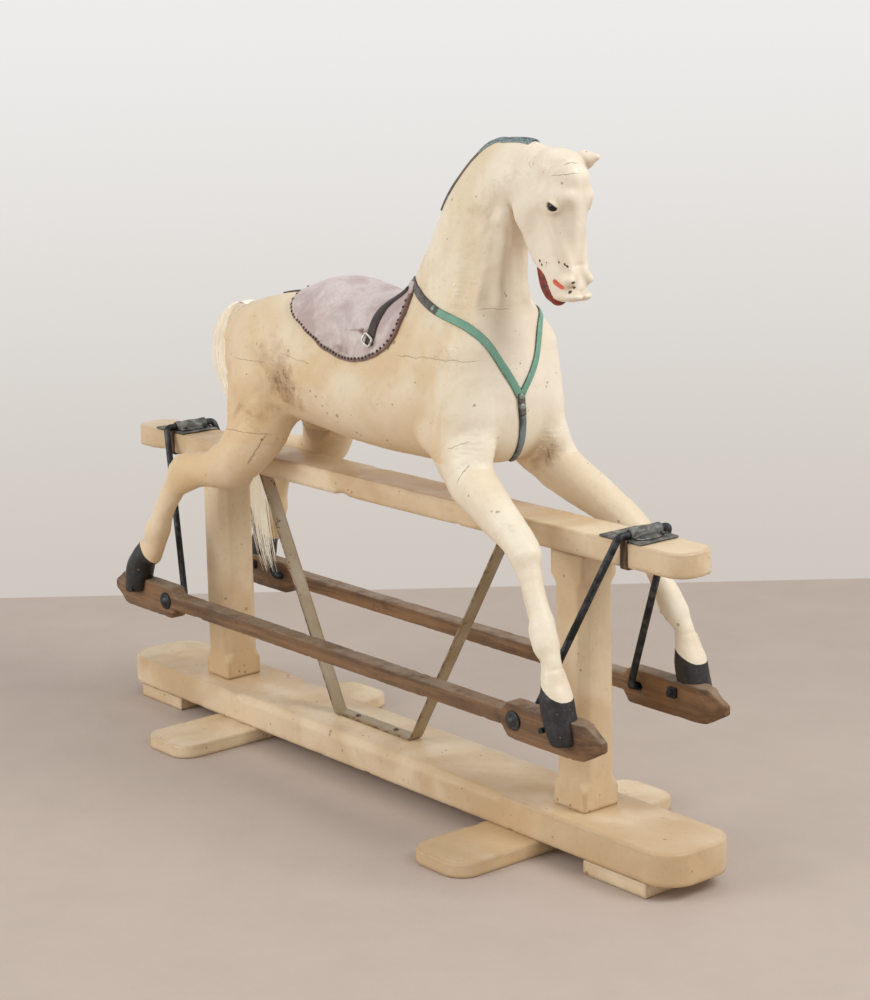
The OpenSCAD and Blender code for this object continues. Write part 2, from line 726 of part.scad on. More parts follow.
module head() {
    color(CREAM) on_horse() difference() {
        intersection() {
            union() {
                limb(neck_line, 0, 22, 0.22);
                limb(skull, 0, 20);
                both_sides() {
                    swellings(neck_muscles, 0);
                    swellings(head_muscles, 0);
                }
                ear();
                ear_stump();
            }
            head_region();
        }
        both_sides() translate(eye) sphere(d = eye_d + 4*fit_gap, $fn = 16);
        mouth_gap();
        both_sides() translate([447, -14, 590]) sphere(6, $fn = 10);
    }
}

// The open mouth: a wedge between the jaws
module mouth_gap() {
    rotate([90, 0, 0]) linear_extrude(100, center = true)
        polygon([[382, 612], [434, 566], [434, 540], [404, 540], [406, 570]]);
}

module leg(front) {
    difference() {
        intersection() {
            leg_wood();
            translate([front ? 0 : -big, -big, -big/2]) cube([big, big, big]);
        }
        translate([-big/2, -hoof_rail_span/2, rail_top - big]) cube([big, hoof_rail_span, big]);
        translate([(front ? 1 : -1)*bolt_x, 0, bolt_z]) rotate([90, 0, 0])
            cylinder(h = hoof_rail_span/2 + lap - 3, d = bolt_d + 4*fit_gap, $fn = 24);
    }
}

module right_foreleg() { color(CREAM) on_horse() leg(true); }

module left_foreleg() { color(CREAM) on_horse() mirror([0, 1, 0]) leg(true); }

module right_hind_leg() { color(CREAM) on_horse() leg(false); }

module left_hind_leg() { color(CREAM) on_horse() mirror([0, 1, 0]) leg(false); }

module glass_eyes() {
    color("#1c1614") on_horse() both_sides() translate(eye) sphere(d = eye_d, $fn = round_n);
}

// ---------------------------------------------------------------- leather and hair

mane_width = 24;

// A leather strip along the crest of the neck, where the mane was nailed
module mane_strip() {
    color(LEATHER) on_horse() intersection() {
        difference() {
            neck_form(strap_thick);
            neck_form(0);
        }
        rotate([90, 0, 0]) linear_extrude(mane_width, center = true)
            polygon([[120, 700], [146, 676], [180, 676], [240, 740], [338, 740], [338, 830], [200, 830]]);
    }
}

// The stuffed hide seat: the back's form grown a little, with a dome on top
module saddle_form(grow) {
    trunk(saddle_thick + grow);
    neck_form(saddle_thick + grow);
    translate([-62, 0, 470]) scale([150 + grow, 78 + grow, 90 + grow]) sphere(1, $fn = 24);
}

// The seat's outline from the side: a round flap below, a slope up to the croup behind
module saddle_space() {
    rotate([90, 0, 0]) linear_extrude(big, center = true) hull() {
        translate([72, 513]) circle(60, $fn = round_n);
        translate([-22, 500]) circle(45, $fn = round_n);
        translate([-168, 531]) circle(8, $fn = round_n);
        translate([-172, 640]) square([232, 1]);
    }
}

module saddle() {
    color("#b9aca6") on_horse() difference() {
        intersection() {
            saddle_form(0);
            saddle_space();
        }
        trunk(0);
        neck_form(0);
    }
}

// The skin between the horse's form and the same form grown by the leather's thickness
module leather_skin() {
    difference() {
        union() {
            trunk(strap_thick);
            neck_form(strap_thick);
        }
        trunk(0);
        neck_form(0);
    }
}

junction = [torso[0][0], 0, 424];
shoulder = [285, -64, 520];
withers = [120, -40, 567];
strap_foot = 316;

// Each side of the strap lies in a plane through the withers, the shoulder and the junction on the
// breast; below the junction one strap goes on down between the legs
module breast_strap() {
    n = unit(cross(shoulder - junction, withers - junction));
    color(GREEN) on_horse() intersection() {
        leather_skin();
        union() {
            difference() {
                both_sides() intersection() {
                    translate(junction) rotate([0, acos(n[2]), atan2(n[1], n[0])])
                        cube([big, big, strap_width], center = true);
                    translate([0, -big + strap_width/2, junction[2] - strap_width/2]) cube(big);
                }
                saddle_space();
            }
            translate([240, -strap_width/2, strap_foot]) cube([200, strap_width, junction[2] - strap_foot]);
        }
    }
}

module crupper_strap() {
    color(LEATHER) on_horse() intersection() {
        leather_skin();
        translate([-248, -strap_width/3, 480]) cube([52, 2*strap_width/3, 100]);
        translate([-248, -big/2, 400]) cube([50, big, big]);
    }
}

leather_top = [112, 548];
leather_end = [78, 487];
leather_width = 15;

module stirrup_leather() {
    v = leather_end - leather_top;
    intersection() {
        difference() {
            saddle_form(strap_thick);
            saddle_form(0);
        }
        translate([leather_top[0], -big/2, leather_top[1]]) rotate([0, -atan2(v[1], v[0]), 0])
            translate([0, 0, -leather_width/2]) cube([norm(v), big/2, leather_width]);
        saddle_space();
    }
}

module right_stirrup_leather() { color(LEATHER) on_horse() stirrup_leather(); }

module left_stirrup_leather() { color(LEATHER) on_horse() mirror([0, 1, 0]) stirrup_leather(); }

// A wire buckle frame that lies on the leather's lower end
module leather_buckles() {
    v = leather_end - leather_top;
    color("#b8b4ae") on_horse() both_sides() intersection() {
        difference() {
            saddle_form(strap_thick + 2.5);
            saddle_form(strap_thick);
        }
        translate([leather_end[0], 0, leather_end[1]]) rotate([0, -atan2(v[1], v[0]), 0])
            rotate([90, 0, 0]) linear_extrude(big) difference() {
                translate([-18, -leather_width/2 - 3]) square([22, leather_width + 6]);
                translate([-15, -leather_width/2 + 1]) square([16, leather_width - 2]);
            }
    }
}

module on_breast(z) {
    translate([junction[0] + strap_thick, 0, z]) rotate([0, 90, 0]) children();
}

module strap_studs() {
    color("#8c8476") on_horse() {
        on_breast(junction[2]) dome(9, 3);
        on_breast(junction[2] - 15) dome(9, 3);
    }
}

tail_lean = 35;

module at_tail() {
    translate([-308, 0, 462]) rotate([0, -90 + tail_lean, 0]) children();
}

module tail_plug_form(grow) {
    at_tail() cylinder(h = 46 + grow, d = tail_plug_d + 2*grow, $fn = round_n);
}

module tail_plug() {
    color("#c9b48c") on_horse() at_tail() cylinder(h = 46, d = tail_plug_d, $fn = round_n);
}

// The hair leaves the plug upwards, turns over and hangs at the left side of the top rail
tail_line = [[-340.5, 495.8, -350.9, 481, 0, 9], [-362, 505, -368, 476, 2, 13], [-392, 493, -382, 463, 6, 15],
    [-420, 455, -394, 439, 12, 15], [-438, 396, -406, 392, 26, 13], [-446, 330, -414, 330, 44, 10],
    [-448, 270, -416, 270, 57, 8], [-444, 190, -408, 190, 60, 8], [-434, 110, -392, 110, 61, 9],
    [-416, 50, -372, 50, 61, 8], [-388, 20, -362, 14, 61, 4]];

module tail_hair() {
    color("#e8e2d2") on_horse() limb(tail_line, 0, 12);
}

base_board();
rear_cross_foot();
front_cross_foot();
rear_end_pad();
front_end_pad();
rear_post();
front_post();
top_rail();
brace_strap();
brace_screws();
foot_screws();
rear_bracket_plate();
front_bracket_plate();
rear_bearing_cap();
front_bearing_cap();
rear_rail_straps();
front_rail_straps();
cap_screws();
rear_swing_iron();
rear_iron_washers();
front_swing_iron();
front_iron_washers();
right_hoof_rail();
left_hoof_rail();
hoof_bolts();
hoof_nuts();
body_upper();
body_lower();
neck();
head();
right_foreleg();
left_foreleg();
right_hind_leg();
left_hind_leg();
glass_eyes();
mane_strip();
saddle();
breast_strap();
strap_studs();
right_stirrup_leather();
left_stirrup_leather();
leather_buckles();
crupper_strap();
tail_plug();
tail_hair();
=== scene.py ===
"""Rocking horse: looks of a carved, painted wooden horse on its swing stand.

Every surface is worked out with numpy. The carved horse is one smooth field, made of side-view lofts and rounded
swellings that melt into each other, and it is meshed block by block along its timber joints. Boards, irons, straps,
tacks and hair are profiles carried along paths. Lengths are millimetres in the functions and metres in the meshes.
"""

import json

import bpy
import numpy as np
from bpy.props import FloatProperty, FloatVectorProperty, IntProperty, PointerProperty
from mathutils import Matrix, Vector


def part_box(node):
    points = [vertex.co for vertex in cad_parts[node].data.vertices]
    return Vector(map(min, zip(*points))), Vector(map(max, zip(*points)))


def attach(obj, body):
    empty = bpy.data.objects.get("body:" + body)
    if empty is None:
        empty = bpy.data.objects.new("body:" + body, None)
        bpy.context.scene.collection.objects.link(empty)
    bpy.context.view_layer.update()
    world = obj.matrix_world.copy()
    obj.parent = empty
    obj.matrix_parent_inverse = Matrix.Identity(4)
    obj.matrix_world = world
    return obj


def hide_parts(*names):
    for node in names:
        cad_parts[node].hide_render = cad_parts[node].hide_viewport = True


bl_info = {
    "name": "Rocking Horse",
    "version": (1, 0, 0),
    "blender": (4, 5, 0),
    "location": "View3D > Sidebar > Rocking Horse",
    "description": "Dresses the rocking horse and its swing stand",
    "category": "Add Mesh",
}

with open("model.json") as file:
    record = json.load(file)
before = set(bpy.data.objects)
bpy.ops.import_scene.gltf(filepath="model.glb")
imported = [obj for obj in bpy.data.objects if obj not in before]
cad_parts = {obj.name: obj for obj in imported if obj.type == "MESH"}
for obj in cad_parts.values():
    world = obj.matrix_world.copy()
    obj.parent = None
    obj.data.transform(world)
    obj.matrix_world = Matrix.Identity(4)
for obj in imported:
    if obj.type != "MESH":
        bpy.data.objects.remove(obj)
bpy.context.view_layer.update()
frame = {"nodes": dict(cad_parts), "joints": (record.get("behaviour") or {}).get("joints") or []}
JOINTS = {joint["name"]: joint for joint in frame["joints"]}
PIVOTS = [np.array(JOINTS[name]["pos_m"]) * 1000 for name in ("rear_swing", "front_swing")]
LOW_PIVOT = np.array(JOINTS["horse_pitch"]["pos_m"]) * 1000
SWING_X = float(PIVOTS[0][0] + PIVOTS[1][0]) / 2
RAILS = [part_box("left_hoof_rail"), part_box("right_hoof_rail")]
SWING_Y = 500 * float(RAILS[0][1][1] + RAILS[1][0][1])
HORSE_AT = np.array([SWING_X, SWING_Y, LOW_PIVOT[2]])
LOW_X = SWING_X - float(LOW_PIVOT[0])
COARSE = 1.0
IRON_R = 5.5
SLOT_PLAY = 7.0


def cad_box(node):
    """Lowest and highest corner of a CAD node, in millimetres."""
    low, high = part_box(node)
    return np.array(low) * 1000, np.array(high) * 1000


# ---------------------------------------------------------------- numbers


def gentle(knots, values, at):
    """Monotone cubic through the knots: each slope is the harmonic mean of its two neighbours' slopes, or zero at a
    turn, so that the curve never overshoots."""
    knots, values, at = (np.asarray(a, float) for a in (knots, values, at))
    values = values.reshape(len(knots), -1)
    step = np.diff(knots)[:, None]
    rise = np.diff(values, axis=0) / step
    slope = np.zeros_like(values)
    same = rise[:-1] * rise[1:] > 0
    inner = 2 * rise[:-1] * rise[1:] / np.where(same, rise[:-1] + rise[1:], 1)
    slope[1:-1] = np.where(same, inner, 0)
    slope[0], slope[-1] = rise[0], rise[-1]
    i = np.clip(np.searchsorted(knots, at) - 1, 0, len(knots) - 2)
    h = step[i, 0][:, None]
    t = np.clip((at - knots[i])[:, None] / h, 0, 1)
    return ((1 + 2 * t) * (1 - t) ** 2 * values[i] + t * (1 - t) ** 2 * h * slope[i]
            + t * t * (3 - 2 * t) * values[i + 1] + t * t * (t - 1) * h * slope[i + 1])


def unit(rows):
    """Vectors brought to length one: v / |v|."""
    return rows / np.linalg.norm(rows, axis=-1, keepdims=True)


def ease(t):
    """Smooth step: t^2 (3 - 2 t), held between 0 and 1."""
    t = np.clip(t, 0, 1)
    return t * t * (3 - 2 * t)


def rounded_path(points, spacing):
    """A smooth line through the points, with samples about the spacing apart: a gentle cubic over the chord length."""
    points = np.asarray(points, float)
    reach = np.r_[0, np.cumsum(np.linalg.norm(np.diff(points, axis=0), axis=1))]
    return gentle(reach, points, np.linspace(0, reach[-1], max(3, int(reach[-1] / spacing) + 1)))


def soft_min(a, b, k):
    """The lower of two fields, melted over the width k: min(a, b) - (k - |a - b|)^2 / 4k where they are near."""
    h = np.maximum(k - np.abs(a - b), 0)
    return np.minimum(a, b) - h * h / (4 * k)


def soft_max(a, b, k):
    """The higher of two fields, rounded over the width k."""
    return -soft_min(-a, -b, k)


def ripple(p, scale, seed):
    """Slow, smooth unevenness from -1 to 1: sines over three slanted directions, each bent by the next."""
    turn = np.random.default_rng(seed).uniform(-1, 1, (4, 3)) * 2.4
    phase = np.random.default_rng(seed + 1).uniform(0, 6.28, 4)
    wave = np.sin(p @ turn[3] / scale + phase[3])
    total = 0
    for i in range(3):
        wave = np.sin(p @ turn[i] / scale + phase[i] + 1.7 * wave)
        total = total + wave
    return total / 3


def ball(p, centre, radius):
    """Distance to a ball."""
    return np.sqrt(sum((a - c) ** 2 for a, c in zip(p, centre))) - radius


def egg(p, centre, radii):
    """Distance, to first order, to an ellipsoid: k0 (k0 - 1) / k1 with k0 = |q / r| and k1 = |q / r^2|."""
    q = [a - c for a, c in zip(p, centre)]
    k0 = np.sqrt(sum((a / r) ** 2 for a, r in zip(q, radii)))
    k1 = np.sqrt(sum((a / (r * r)) ** 2 for a, r in zip(q, radii)))
    return k0 * (k0 - 1) / np.maximum(k1, 1e-6)


def rod(p, start, end, r0, r1):
    """Distance to a rod with round ends whose radius runs evenly from r0 to r1."""
    axis = [e - s for s, e in zip(start, end)]
    length = sum(a * a for a in axis)
    t = sum((q - s) * a for q, s, a in zip(p, start, axis)) / length
    t = np.clip(t, 0, 1)
    return np.sqrt(sum((q - s - t * a) ** 2 for q, s, a in zip(p, start, axis))) - r0 - (r1 - r0) * t


def side_map(table, x, z, cap):
    """Reads a table of side-view stations at every point of the XZ plane. A station is a chord from a rear to a front
    point, a middle Y and a half width. The nearest point of the line of chord middles, by distance over half chord,
    gives the place across the chord, its slope, and the middle and half width there. A point beyond the first or the
    last station is read at that station, and the distance to it counts over the length of that end's cap."""
    rows = np.array(table, float)
    middle = (rows[:, :2] + rows[:, 2:4]) / 2
    reach = np.r_[0, np.cumsum(np.linalg.norm(np.diff(middle, axis=0), axis=1))]
    fine = gentle(reach, rows, np.linspace(0, reach[-1], 5 * len(rows)))
    axis = (fine[:, :2] + fine[:, 2:4]) / 2
    across = (fine[:, 2:4] - fine[:, :2]) / 2
    along = unit(np.gradient(axis, axis=0))
    half = np.abs(along[:, 0] * across[:, 1] - along[:, 1] * across[:, 0])
    over, steep = 0, 0
    for end, out, length in ((axis[0], -along[0], cap[0]), (axis[-1], along[-1], cap[1])):
        beyond = np.maximum((x - end[0]) * out[0] + (z - end[1]) * out[1], 0)
        x, z = x - beyond * out[0], z - beyond * out[1]
        over, steep = over + beyond / length, np.where(beyond > 0, 1 / length, steep)
    best = np.full(np.broadcast(x, z).shape, 1e9)
    kept = [np.zeros_like(best) for _ in range(4)]
    for i in range(len(axis) - 1):
        d = axis[i + 1] - axis[i]
        t = np.clip(((x - axis[i, 0]) * d[0] + (z - axis[i, 1]) * d[1]) / (d @ d), 0, 1)
        dx, dz = x - axis[i, 0] - t * d[0], z - axis[i, 1] - t * d[1]
        a = half[i] + t * (half[i + 1] - half[i])
        far = np.sqrt(dx * dx + dz * dz) / a
        nearer = far < best
        best = np.where(nearer, far, best)
        side = np.sign(dx * across[i, 0] + dz * across[i, 1])
        new = (side * far, 1 / a, fine[i, 4] + t * (fine[i + 1, 4] - fine[i, 4]),
               fine[i, 5] + t * (fine[i + 1, 5] - fine[i, 5]))
        kept = [np.where(nearer, n, k) for n, k in zip(new, kept)]
    return kept + [over, steep]


def loft(table, p, power=2.0, fuller=0.0, cap=(10.0, 10.0)):
    """Distance, to first order, to a loft over side-view stations, with sections |u|^n + |v|^n = 1 and round ends as
    long as the caps. The half width grows by the share called fuller towards the front of each chord."""
    u, slope, middle, b, w, end = side_map(table, p[0], p[2], cap)
    b = b * (1 + fuller * np.clip(u, -1, 1))
    u, v = np.abs(u), np.abs(p[1] - middle) / b
    r = np.sqrt((u ** power + v ** power) ** (2 / power) + w * w)
    steep = np.sqrt((u * slope) ** 2 + (v / b) ** 2 + (w * end) ** 2)
    return r * (r - 1) / np.maximum(steep, 1e-6)


class Lump:
    """A field sampled on an even grid, with the points read back by trilinear interpolation."""

    def __init__(self, form, low, high, step):
        self.low, self.step = np.array(low, float), step
        count = np.ceil((np.array(high) - self.low) / step).astype(int) + 1
        x, y, z = (self.low[k] + step * np.arange(count[k]) for k in range(3))
        p = (x[:, None, None], y[None, :, None], z[None, None, :])
        self.grid = np.broadcast_to(form(p), count).astype(np.float32)

    def read(self, points):
        """The field at the points."""
        q = (points - self.low) / self.step
        q = np.clip(q, 0, np.array(self.grid.shape) - 1.001)
        i = q.astype(int)
        t = q - i
        total = 0
        for corner in np.ndindex(2, 2, 2):
            share = np.prod(np.where(corner, t, 1 - t), axis=1)
            total = total + share * self.grid[tuple((i + corner).T)]
        return total

    def outward(self, points):
        """The unit slope of the field, which points away from the solid."""
        h = self.step * 0.7
        slope = np.stack([self.read(points + h * e) - self.read(points - h * e) for e in np.eye(3)], axis=1)
        return slope / np.maximum(np.linalg.norm(slope, axis=1), 1e-9)[:, None]

    def settle(self, points, level=0.0, rounds=3):
        """Moves points along the slope onto the surface at that level: p - n (f(p) - level)."""
        for _ in range(rounds):
            points = points - self.outward(points) * (self.read(points) - level)[:, None]
        return points


def half_lump(form, low, high, step):
    """A form that is the same on both sides, sampled on one side and copied to the other."""
    lump = Lump(form, (low[0], 0, low[2]), high, step)
    lump.grid = np.concatenate([lump.grid[:, :0:-1], lump.grid], axis=1)
    lump.low[1] = -step * (lump.grid.shape[1] // 2)
    return lump


def net(lump):
    """Surface net of a sampled field: one corner in each cell that the surface crosses, at the mean of the crossings of
    its edges, and one four-sided face round each crossed grid edge, wound to face outwards."""
    grid = lump.grid
    inside = grid < 0
    shape = np.array(grid.shape) - 1
    part = [inside[a:a + shape[0], b:b + shape[1], c:c + shape[2]] for a, b, c in np.ndindex(2, 2, 2)]
    count = sum(q.astype(np.int8) for q in part)
    cells = np.argwhere((count > 0) & (count < 8))
    number = np.full(shape, -1)
    number[tuple(cells.T)] = np.arange(len(cells))
    total, crossed = np.zeros((len(cells), 3)), np.zeros(len(cells))
    for axis in range(3):
        for corner in np.ndindex(2, 2):
            start = np.insert(np.array(corner), axis, 0)
            end = start + np.eye(3, dtype=int)[axis]
            f0, f1 = grid[tuple((cells + start).T)], grid[tuple((cells + end).T)]
            hit = (f0 < 0) != (f1 < 0)
            t = np.where(hit, f0 / np.where(hit, f0 - f1, 1), 0)
            total += hit[:, None] * (start + t[:, None] * (end - start))
            crossed += hit
    points = lump.low + lump.step * (cells + total / crossed[:, None])
    faces = []
    for axis in range(3):
        b, c = (axis + 1) % 3, (axis + 2) % 3
        lower = [slice(1, -1)] * 3
        upper = [slice(1, -1)] * 3
        lower[axis], upper[axis] = slice(0, -1), slice(1, None)
        one, two = inside[tuple(lower)], inside[tuple(upper)]
        edges = np.argwhere(one != two)
        leaving = one[tuple(edges.T)]
        at = edges + 1
        at[:, axis] -= 1
        quad = []
        for db, dc in ((-1, -1), (0, -1), (0, 0), (-1, 0)):
            cell = at.copy()
            cell[:, b] += db
            cell[:, c] += dc
            quad.append(number[tuple(cell.T)])
        quad = np.stack(quad, axis=1)
        quad[~leaving] = quad[~leaving][:, ::-1]
        faces.append(quad)
    return points, np.concatenate(faces)


# ---------------------------------------------------------------- pieces


def make_piece(name, points, faces, body, material, stands_for=(), marks=None):
    """Puts corners and faces into a mesh object at the origin, with marks as corner attributes, and lets it ride."""
    points, faces = np.asarray(points, np.float32) / 1000, np.asarray(faces, np.int32)
    mesh = bpy.data.meshes.new(name)
    sides = faces.shape[1]
    mesh.vertices.add(len(points))
    mesh.vertices.foreach_set("co", points.ravel())
    mesh.loops.add(faces.size)
    mesh.loops.foreach_set("vertex_index", faces.ravel())
    mesh.polygons.add(len(faces))
    mesh.polygons.foreach_set("loop_start", np.arange(0, faces.size, sides, dtype=np.int32))
    mesh.polygons.foreach_set("use_smooth", np.full(len(faces), True))
    mesh.update(calc_edges=True)
    mesh.validate()
    for key, values in (marks or {}).items():
        layer = mesh.attributes.new(key, "FLOAT", "POINT")
        layer.data.foreach_set("value", np.asarray(values, np.float32))
    mesh.materials.append(material)
    piece = bpy.data.objects.new(name, mesh)
    bpy.context.scene.collection.objects.link(piece)
    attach(piece, body)
    if stands_for:
        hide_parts(*stands_for)
    return piece


def tube(rings):
    """Corners, four-sided faces and the end fans' triangles of a closed tube over rings of equal size."""
    rings = np.asarray(rings, float)
    rows, columns = rings.shape[:2]
    ends = [rings[0].mean(axis=0), rings[-1].mean(axis=0)]
    corners = np.concatenate([rings.reshape(-1, 3), ends])
    i, j = np.arange(rows - 1)[:, None] * columns, np.arange(columns)
    k, top = (j + 1) % columns, (rows - 1) * columns
    sides = np.stack([i + j, i + k, i + columns + k, i + columns + j], axis=-1).reshape(-1, 4)
    caps = [np.stack([k, j, np.full(columns, top + columns)], axis=1),
            np.stack([j + top, k + top, np.full(columns, top + columns + 1)], axis=1)]
    return corners, sides, np.concatenate(caps)


def tube_piece(name, tubes, body, material, stands_for=(), marks=None):
    """Makes one piece of all the tubes, each given by its rings, as triangles that face outwards: the sum of the
    volumes over the triangles is positive then."""
    corners, quads, tris, count = [], [], [], 0
    for rings in tubes:
        points, sides, caps = tube(rings)
        corners.append(points)
        quads.append(sides + count)
        tris.append(caps + count)
        count += len(points)
    corners, quads, tris = (np.concatenate(rows) for rows in (corners, quads, tris))
    tris = np.concatenate([tris, quads[:, [0, 1, 2]], quads[:, [0, 2, 3]]])
    a, b, c = (corners[tris[:, k]] - corners[0] for k in range(3))
    if np.sum(a * np.cross(b, c)) < 0:
        tris = tris[:, ::-1]
    return make_piece(name, corners, tris, body, material, stands_for, marks)


def frames_along(line, up=(0, 0, 1)):
    """Unit tangent, side and normal at each point of a line, from the direction that is called up."""
    t = unit(np.gradient(line, axis=0))
    side = unit(np.cross(t, np.broadcast_to(np.array(up, float), t.shape)))
    return t, side, np.cross(side, t)


def round_rings(line, radius, sides, up=(0, 0, 1)):
    """Circles round a line: p + r (side cos a + normal sin a)."""
    _, side, normal = frames_along(line, up)
    a = np.linspace(0, 2 * np.pi, sides, endpoint=False)
    r = np.broadcast_to(np.asarray(radius, float).reshape(-1, 1, 1), (len(line), 1, 1))
    return line[:, None] + r * (side[:, None] * np.cos(a)[None, :, None] + normal[:, None] * np.sin(a)[None, :, None])


def turned(profile, sides, centre, axis):
    """Rings of a turned shape: the profile's radius and height about the axis through the centre."""
    axis = np.array(axis, float)
    u = unit(np.cross(axis, [0.3, 0.5, 0.81]))
    v = np.cross(axis, u)
    a = np.linspace(0, 2 * np.pi, sides, endpoint=False)
    r, h = np.array(profile, float).T
    spin = np.cos(a)[:, None] * u + np.sin(a)[:, None] * v
    return np.array(centre, float) + r[:, None, None] * spin[None] + h[:, None, None] * axis


def swept(line, across, section):
    """Rings of a bar with one section along a line, and its normals. A section's point lies at s across + t normal."""
    normal = np.cross(unit(np.gradient(line, axis=0)), across)
    return line[:, None] + section[None, :, :1] * across + section[None, :, 1:] * normal[:, None], normal


def bend(before, corner, after, trim, count):
    """A rounded corner: (1 - t)^2 p + 2 t (1 - t) corner + t^2 q, with p and q at the trim before and after it."""
    p, q = corner - trim * unit(corner - before), corner + trim * unit(after - corner)
    t = np.linspace(0, 1, count)[:, None]
    return (1 - t) ** 2 * p + 2 * t * (1 - t) * corner + t * t * q


def steps(start, end, spacing):
    """Even steps from the start to the end, without the start itself, about the spacing long."""
    count = max(1, int(np.linalg.norm(end - start) / spacing))
    return start + (end - start) * (np.arange(1, count + 1) / count)[:, None]


# ---------------------------------------------------------------- carved form

# Side-view stations: rear x and z, front x and z, middle y and half width, in the horse's own frame
TORSO = [[-310, 491, -310, 344, 0, 74], [-290, 502, -290, 336, 0, 83], [-245, 516, -245, 328, 0, 94],
         [-188, 525, -188, 326, 0, 98], [-98, 526, -98, 318, 0, 96], [-8, 531, -8, 309, 0, 95],
         [72, 542, 72, 306, 0, 96], [142, 548, 142, 307, 0, 96], [212, 550, 212, 311, 0, 96],
         [272, 541, 272, 322, 0, 89]]
FORELEG = [[198, 436, 284, 460, 44, 28], [198, 400, 312, 430, 56, 36], [212, 338, 322, 376, 68, 37],
           [254, 300, 334, 332, 80, 32], [312, 262, 362, 310, 87, 28], [348, 246, 394, 292, 94, 26],
           [390, 232, 424, 270, 99, 24], [414, 220, 452, 244, 103, 22], [430, 206, 464, 220, 108, 17],
           [447, 184, 475, 194, 112, 15], [460, 163, 488, 170, 115, 14.5], [470, 138, 505, 146, 119, 17],
           [481, 116, 514, 123, 122, 17], [497, 94, 525, 98, 126, 14], [499, 77, 529, 79, 127, 16]]
HIND_LEG = [[-304, 400, -176, 400, 44, 32], [-312, 360, -166, 352, 60, 42], [-302, 311, -180, 311, 71, 41],
            [-304, 284, -228, 244, 85, 35], [-340, 264, -280, 212, 94, 32], [-392, 252, -352, 202, 101, 25],
            [-424, 236, -388, 190, 105, 21], [-440, 208, -412, 176, 109, 17], [-456, 180, -426, 158, 113, 15.5],
            [-468, 154, -440, 130, 117, 16.5], [-486, 122, -450, 98, 120, 19], [-492, 100, -458, 80, 122, 17],
            [-504, 82, -466, 62, 125, 19]]
NECK = [[384, 767, 384, 706, 0, 24], [350, 778, 364, 700, 0, 30], [311, 782, 345, 690, 0, 34],
        [266, 775, 326, 690, 0, 37], [228, 749, 312, 680, 0, 40], [195, 716, 306, 662, 0, 42],
        [165, 679, 304, 636, 0, 45], [139, 633, 303, 600, 0, 48], [115, 588, 304, 560, 0, 54],
        [86, 540, 306, 500, 0, 66], [58, 480, 306, 440, 0, 76]]
FORE_HOOF = [[500, 84, 530, 84, 127, 16], [502, 68, 535, 68, 127, 20], [500, 48, 545, 48, 128, 22.5],
             [504, 26, 552, 24, 128, 22.5], [512, 6, 558, 4, 128, 22.5], [520, -8, 560, -9, 128, 21]]
HIND_HOOF = [[-508, 86, -468, 76, 124, 17], [-522, 70, -480, 60, 126, 21], [-537, 48, -493, 40, 127, 22.5],
             [-542, 24, -500, 18, 128, 22.5], [-540, 6, -508, 2, 128, 22.5], [-538, -4, -516, -8, 128, 21]]
FORE_SOLE, HIND_SOLE = -10.0, 2.0

# Carved swellings, each a rod between two round ends: from, to, their radii, and the width of the melt
BREAST = [([226, 44, 474], [252, 50, 420], 48, 48, 12), ([252, 50, 420], [258, 60, 376], 48, 40, 12),
          ([262, 32, 456], [272, 34, 388], 46, 40, 12), ([268, 53, 482], [275, 57, 404], 44, 45, 14),
          ([210, 58, 360], [262, 68, 344], 36, 32, 12)]
HAUNCH = [([-236, 36, 440], [-230, 52, 380], 58, 54, 16), ([-230, 52, 380], [-208, 60, 350], 54, 43, 16),
          ([-284, 34, 402], [-286, 42, 356], 42, 32, 16)]
NECK_FLUTES = [([312, 14, 706], [296, 20, 640], 13, 16, 7), ([296, 20, 640], [284, 26, 560], 16, 20, 8),
               ([284, 26, 560], [262, 38, 490], 20, 34, 18), ([226, 16, 684], [186, 24, 610], 22, 22, 20),
               ([262, 30, 668], [248, 35, 590], 11, 13, 8)]
FORE_BONES = [([300, 82, 300], [352, 91, 282], 28, 22, 14), ([418, 102, 250], [440, 105, 230], 18, 20, 9),
              ([430, 105, 232], [446, 109, 206], 16, 11, 8), ([459, 111, 196], [483, 117, 152], 9, 9, 5),
              ([445, 112, 190], [467, 118, 150], 7, 7, 4), ([485, 121, 136], [498, 124, 118], 16, 17, 7),
              ([478, 122, 124], [474, 122, 114], 9, 5, 6)]
HIND_BONES = [([-264, 84, 270], [-300, 92, 250], 32, 26, 16), ([-392, 102, 228], [-408, 105, 214], 23, 19, 10),
              ([-412, 104, 234], [-428, 106, 224], 12, 9, 8), ([-424, 110, 176], [-448, 117, 146], 9, 9, 5),
              ([-444, 111, 190], [-464, 118, 148], 7, 7, 4), ([-462, 120, 118], [-474, 121, 108], 16, 17, 7),
              ([-484, 122, 122], [-490, 123, 116], 8, 6, 6)]
SKULL = [[346, 752, 418, 752, 0, 20], [334, 742, 432, 744, 0, 29], [326, 728, 442, 732, 0, 33],
         [324, 706, 447, 704, 0, 35], [330, 682, 444, 680, 0, 31], [340, 655, 440, 652, 0, 26.5],
         [355, 628, 439, 622, 0, 23.5], [372, 604, 443, 598, 0, 23], [382, 588, 446, 584, 0, 22],
         [391, 577, 445, 575, 0, 20]]
LOWER_JAW = [[350, 648, 384, 640, 0, 19], [362, 622, 388, 616, 0, 18], [364, 604, 392, 600, 0, 17],
             [366, 588, 398, 588, 0, 16], [373, 574, 404, 578, 0, 15], [386, 564, 408, 570, 0, 12]]
EYE = [421, 29, 698]
EYE_R = 8.0
GLUE_Z, GLUE_SLOPE = 464.0, np.tan(np.radians(3.3))
NECK_Z = 550.0
HIND_Z = 311.0
FORE_SLOPE = np.radians(22)
CORE = 42.0
HAIRLINE = 0.04  # half of what parts two blocks
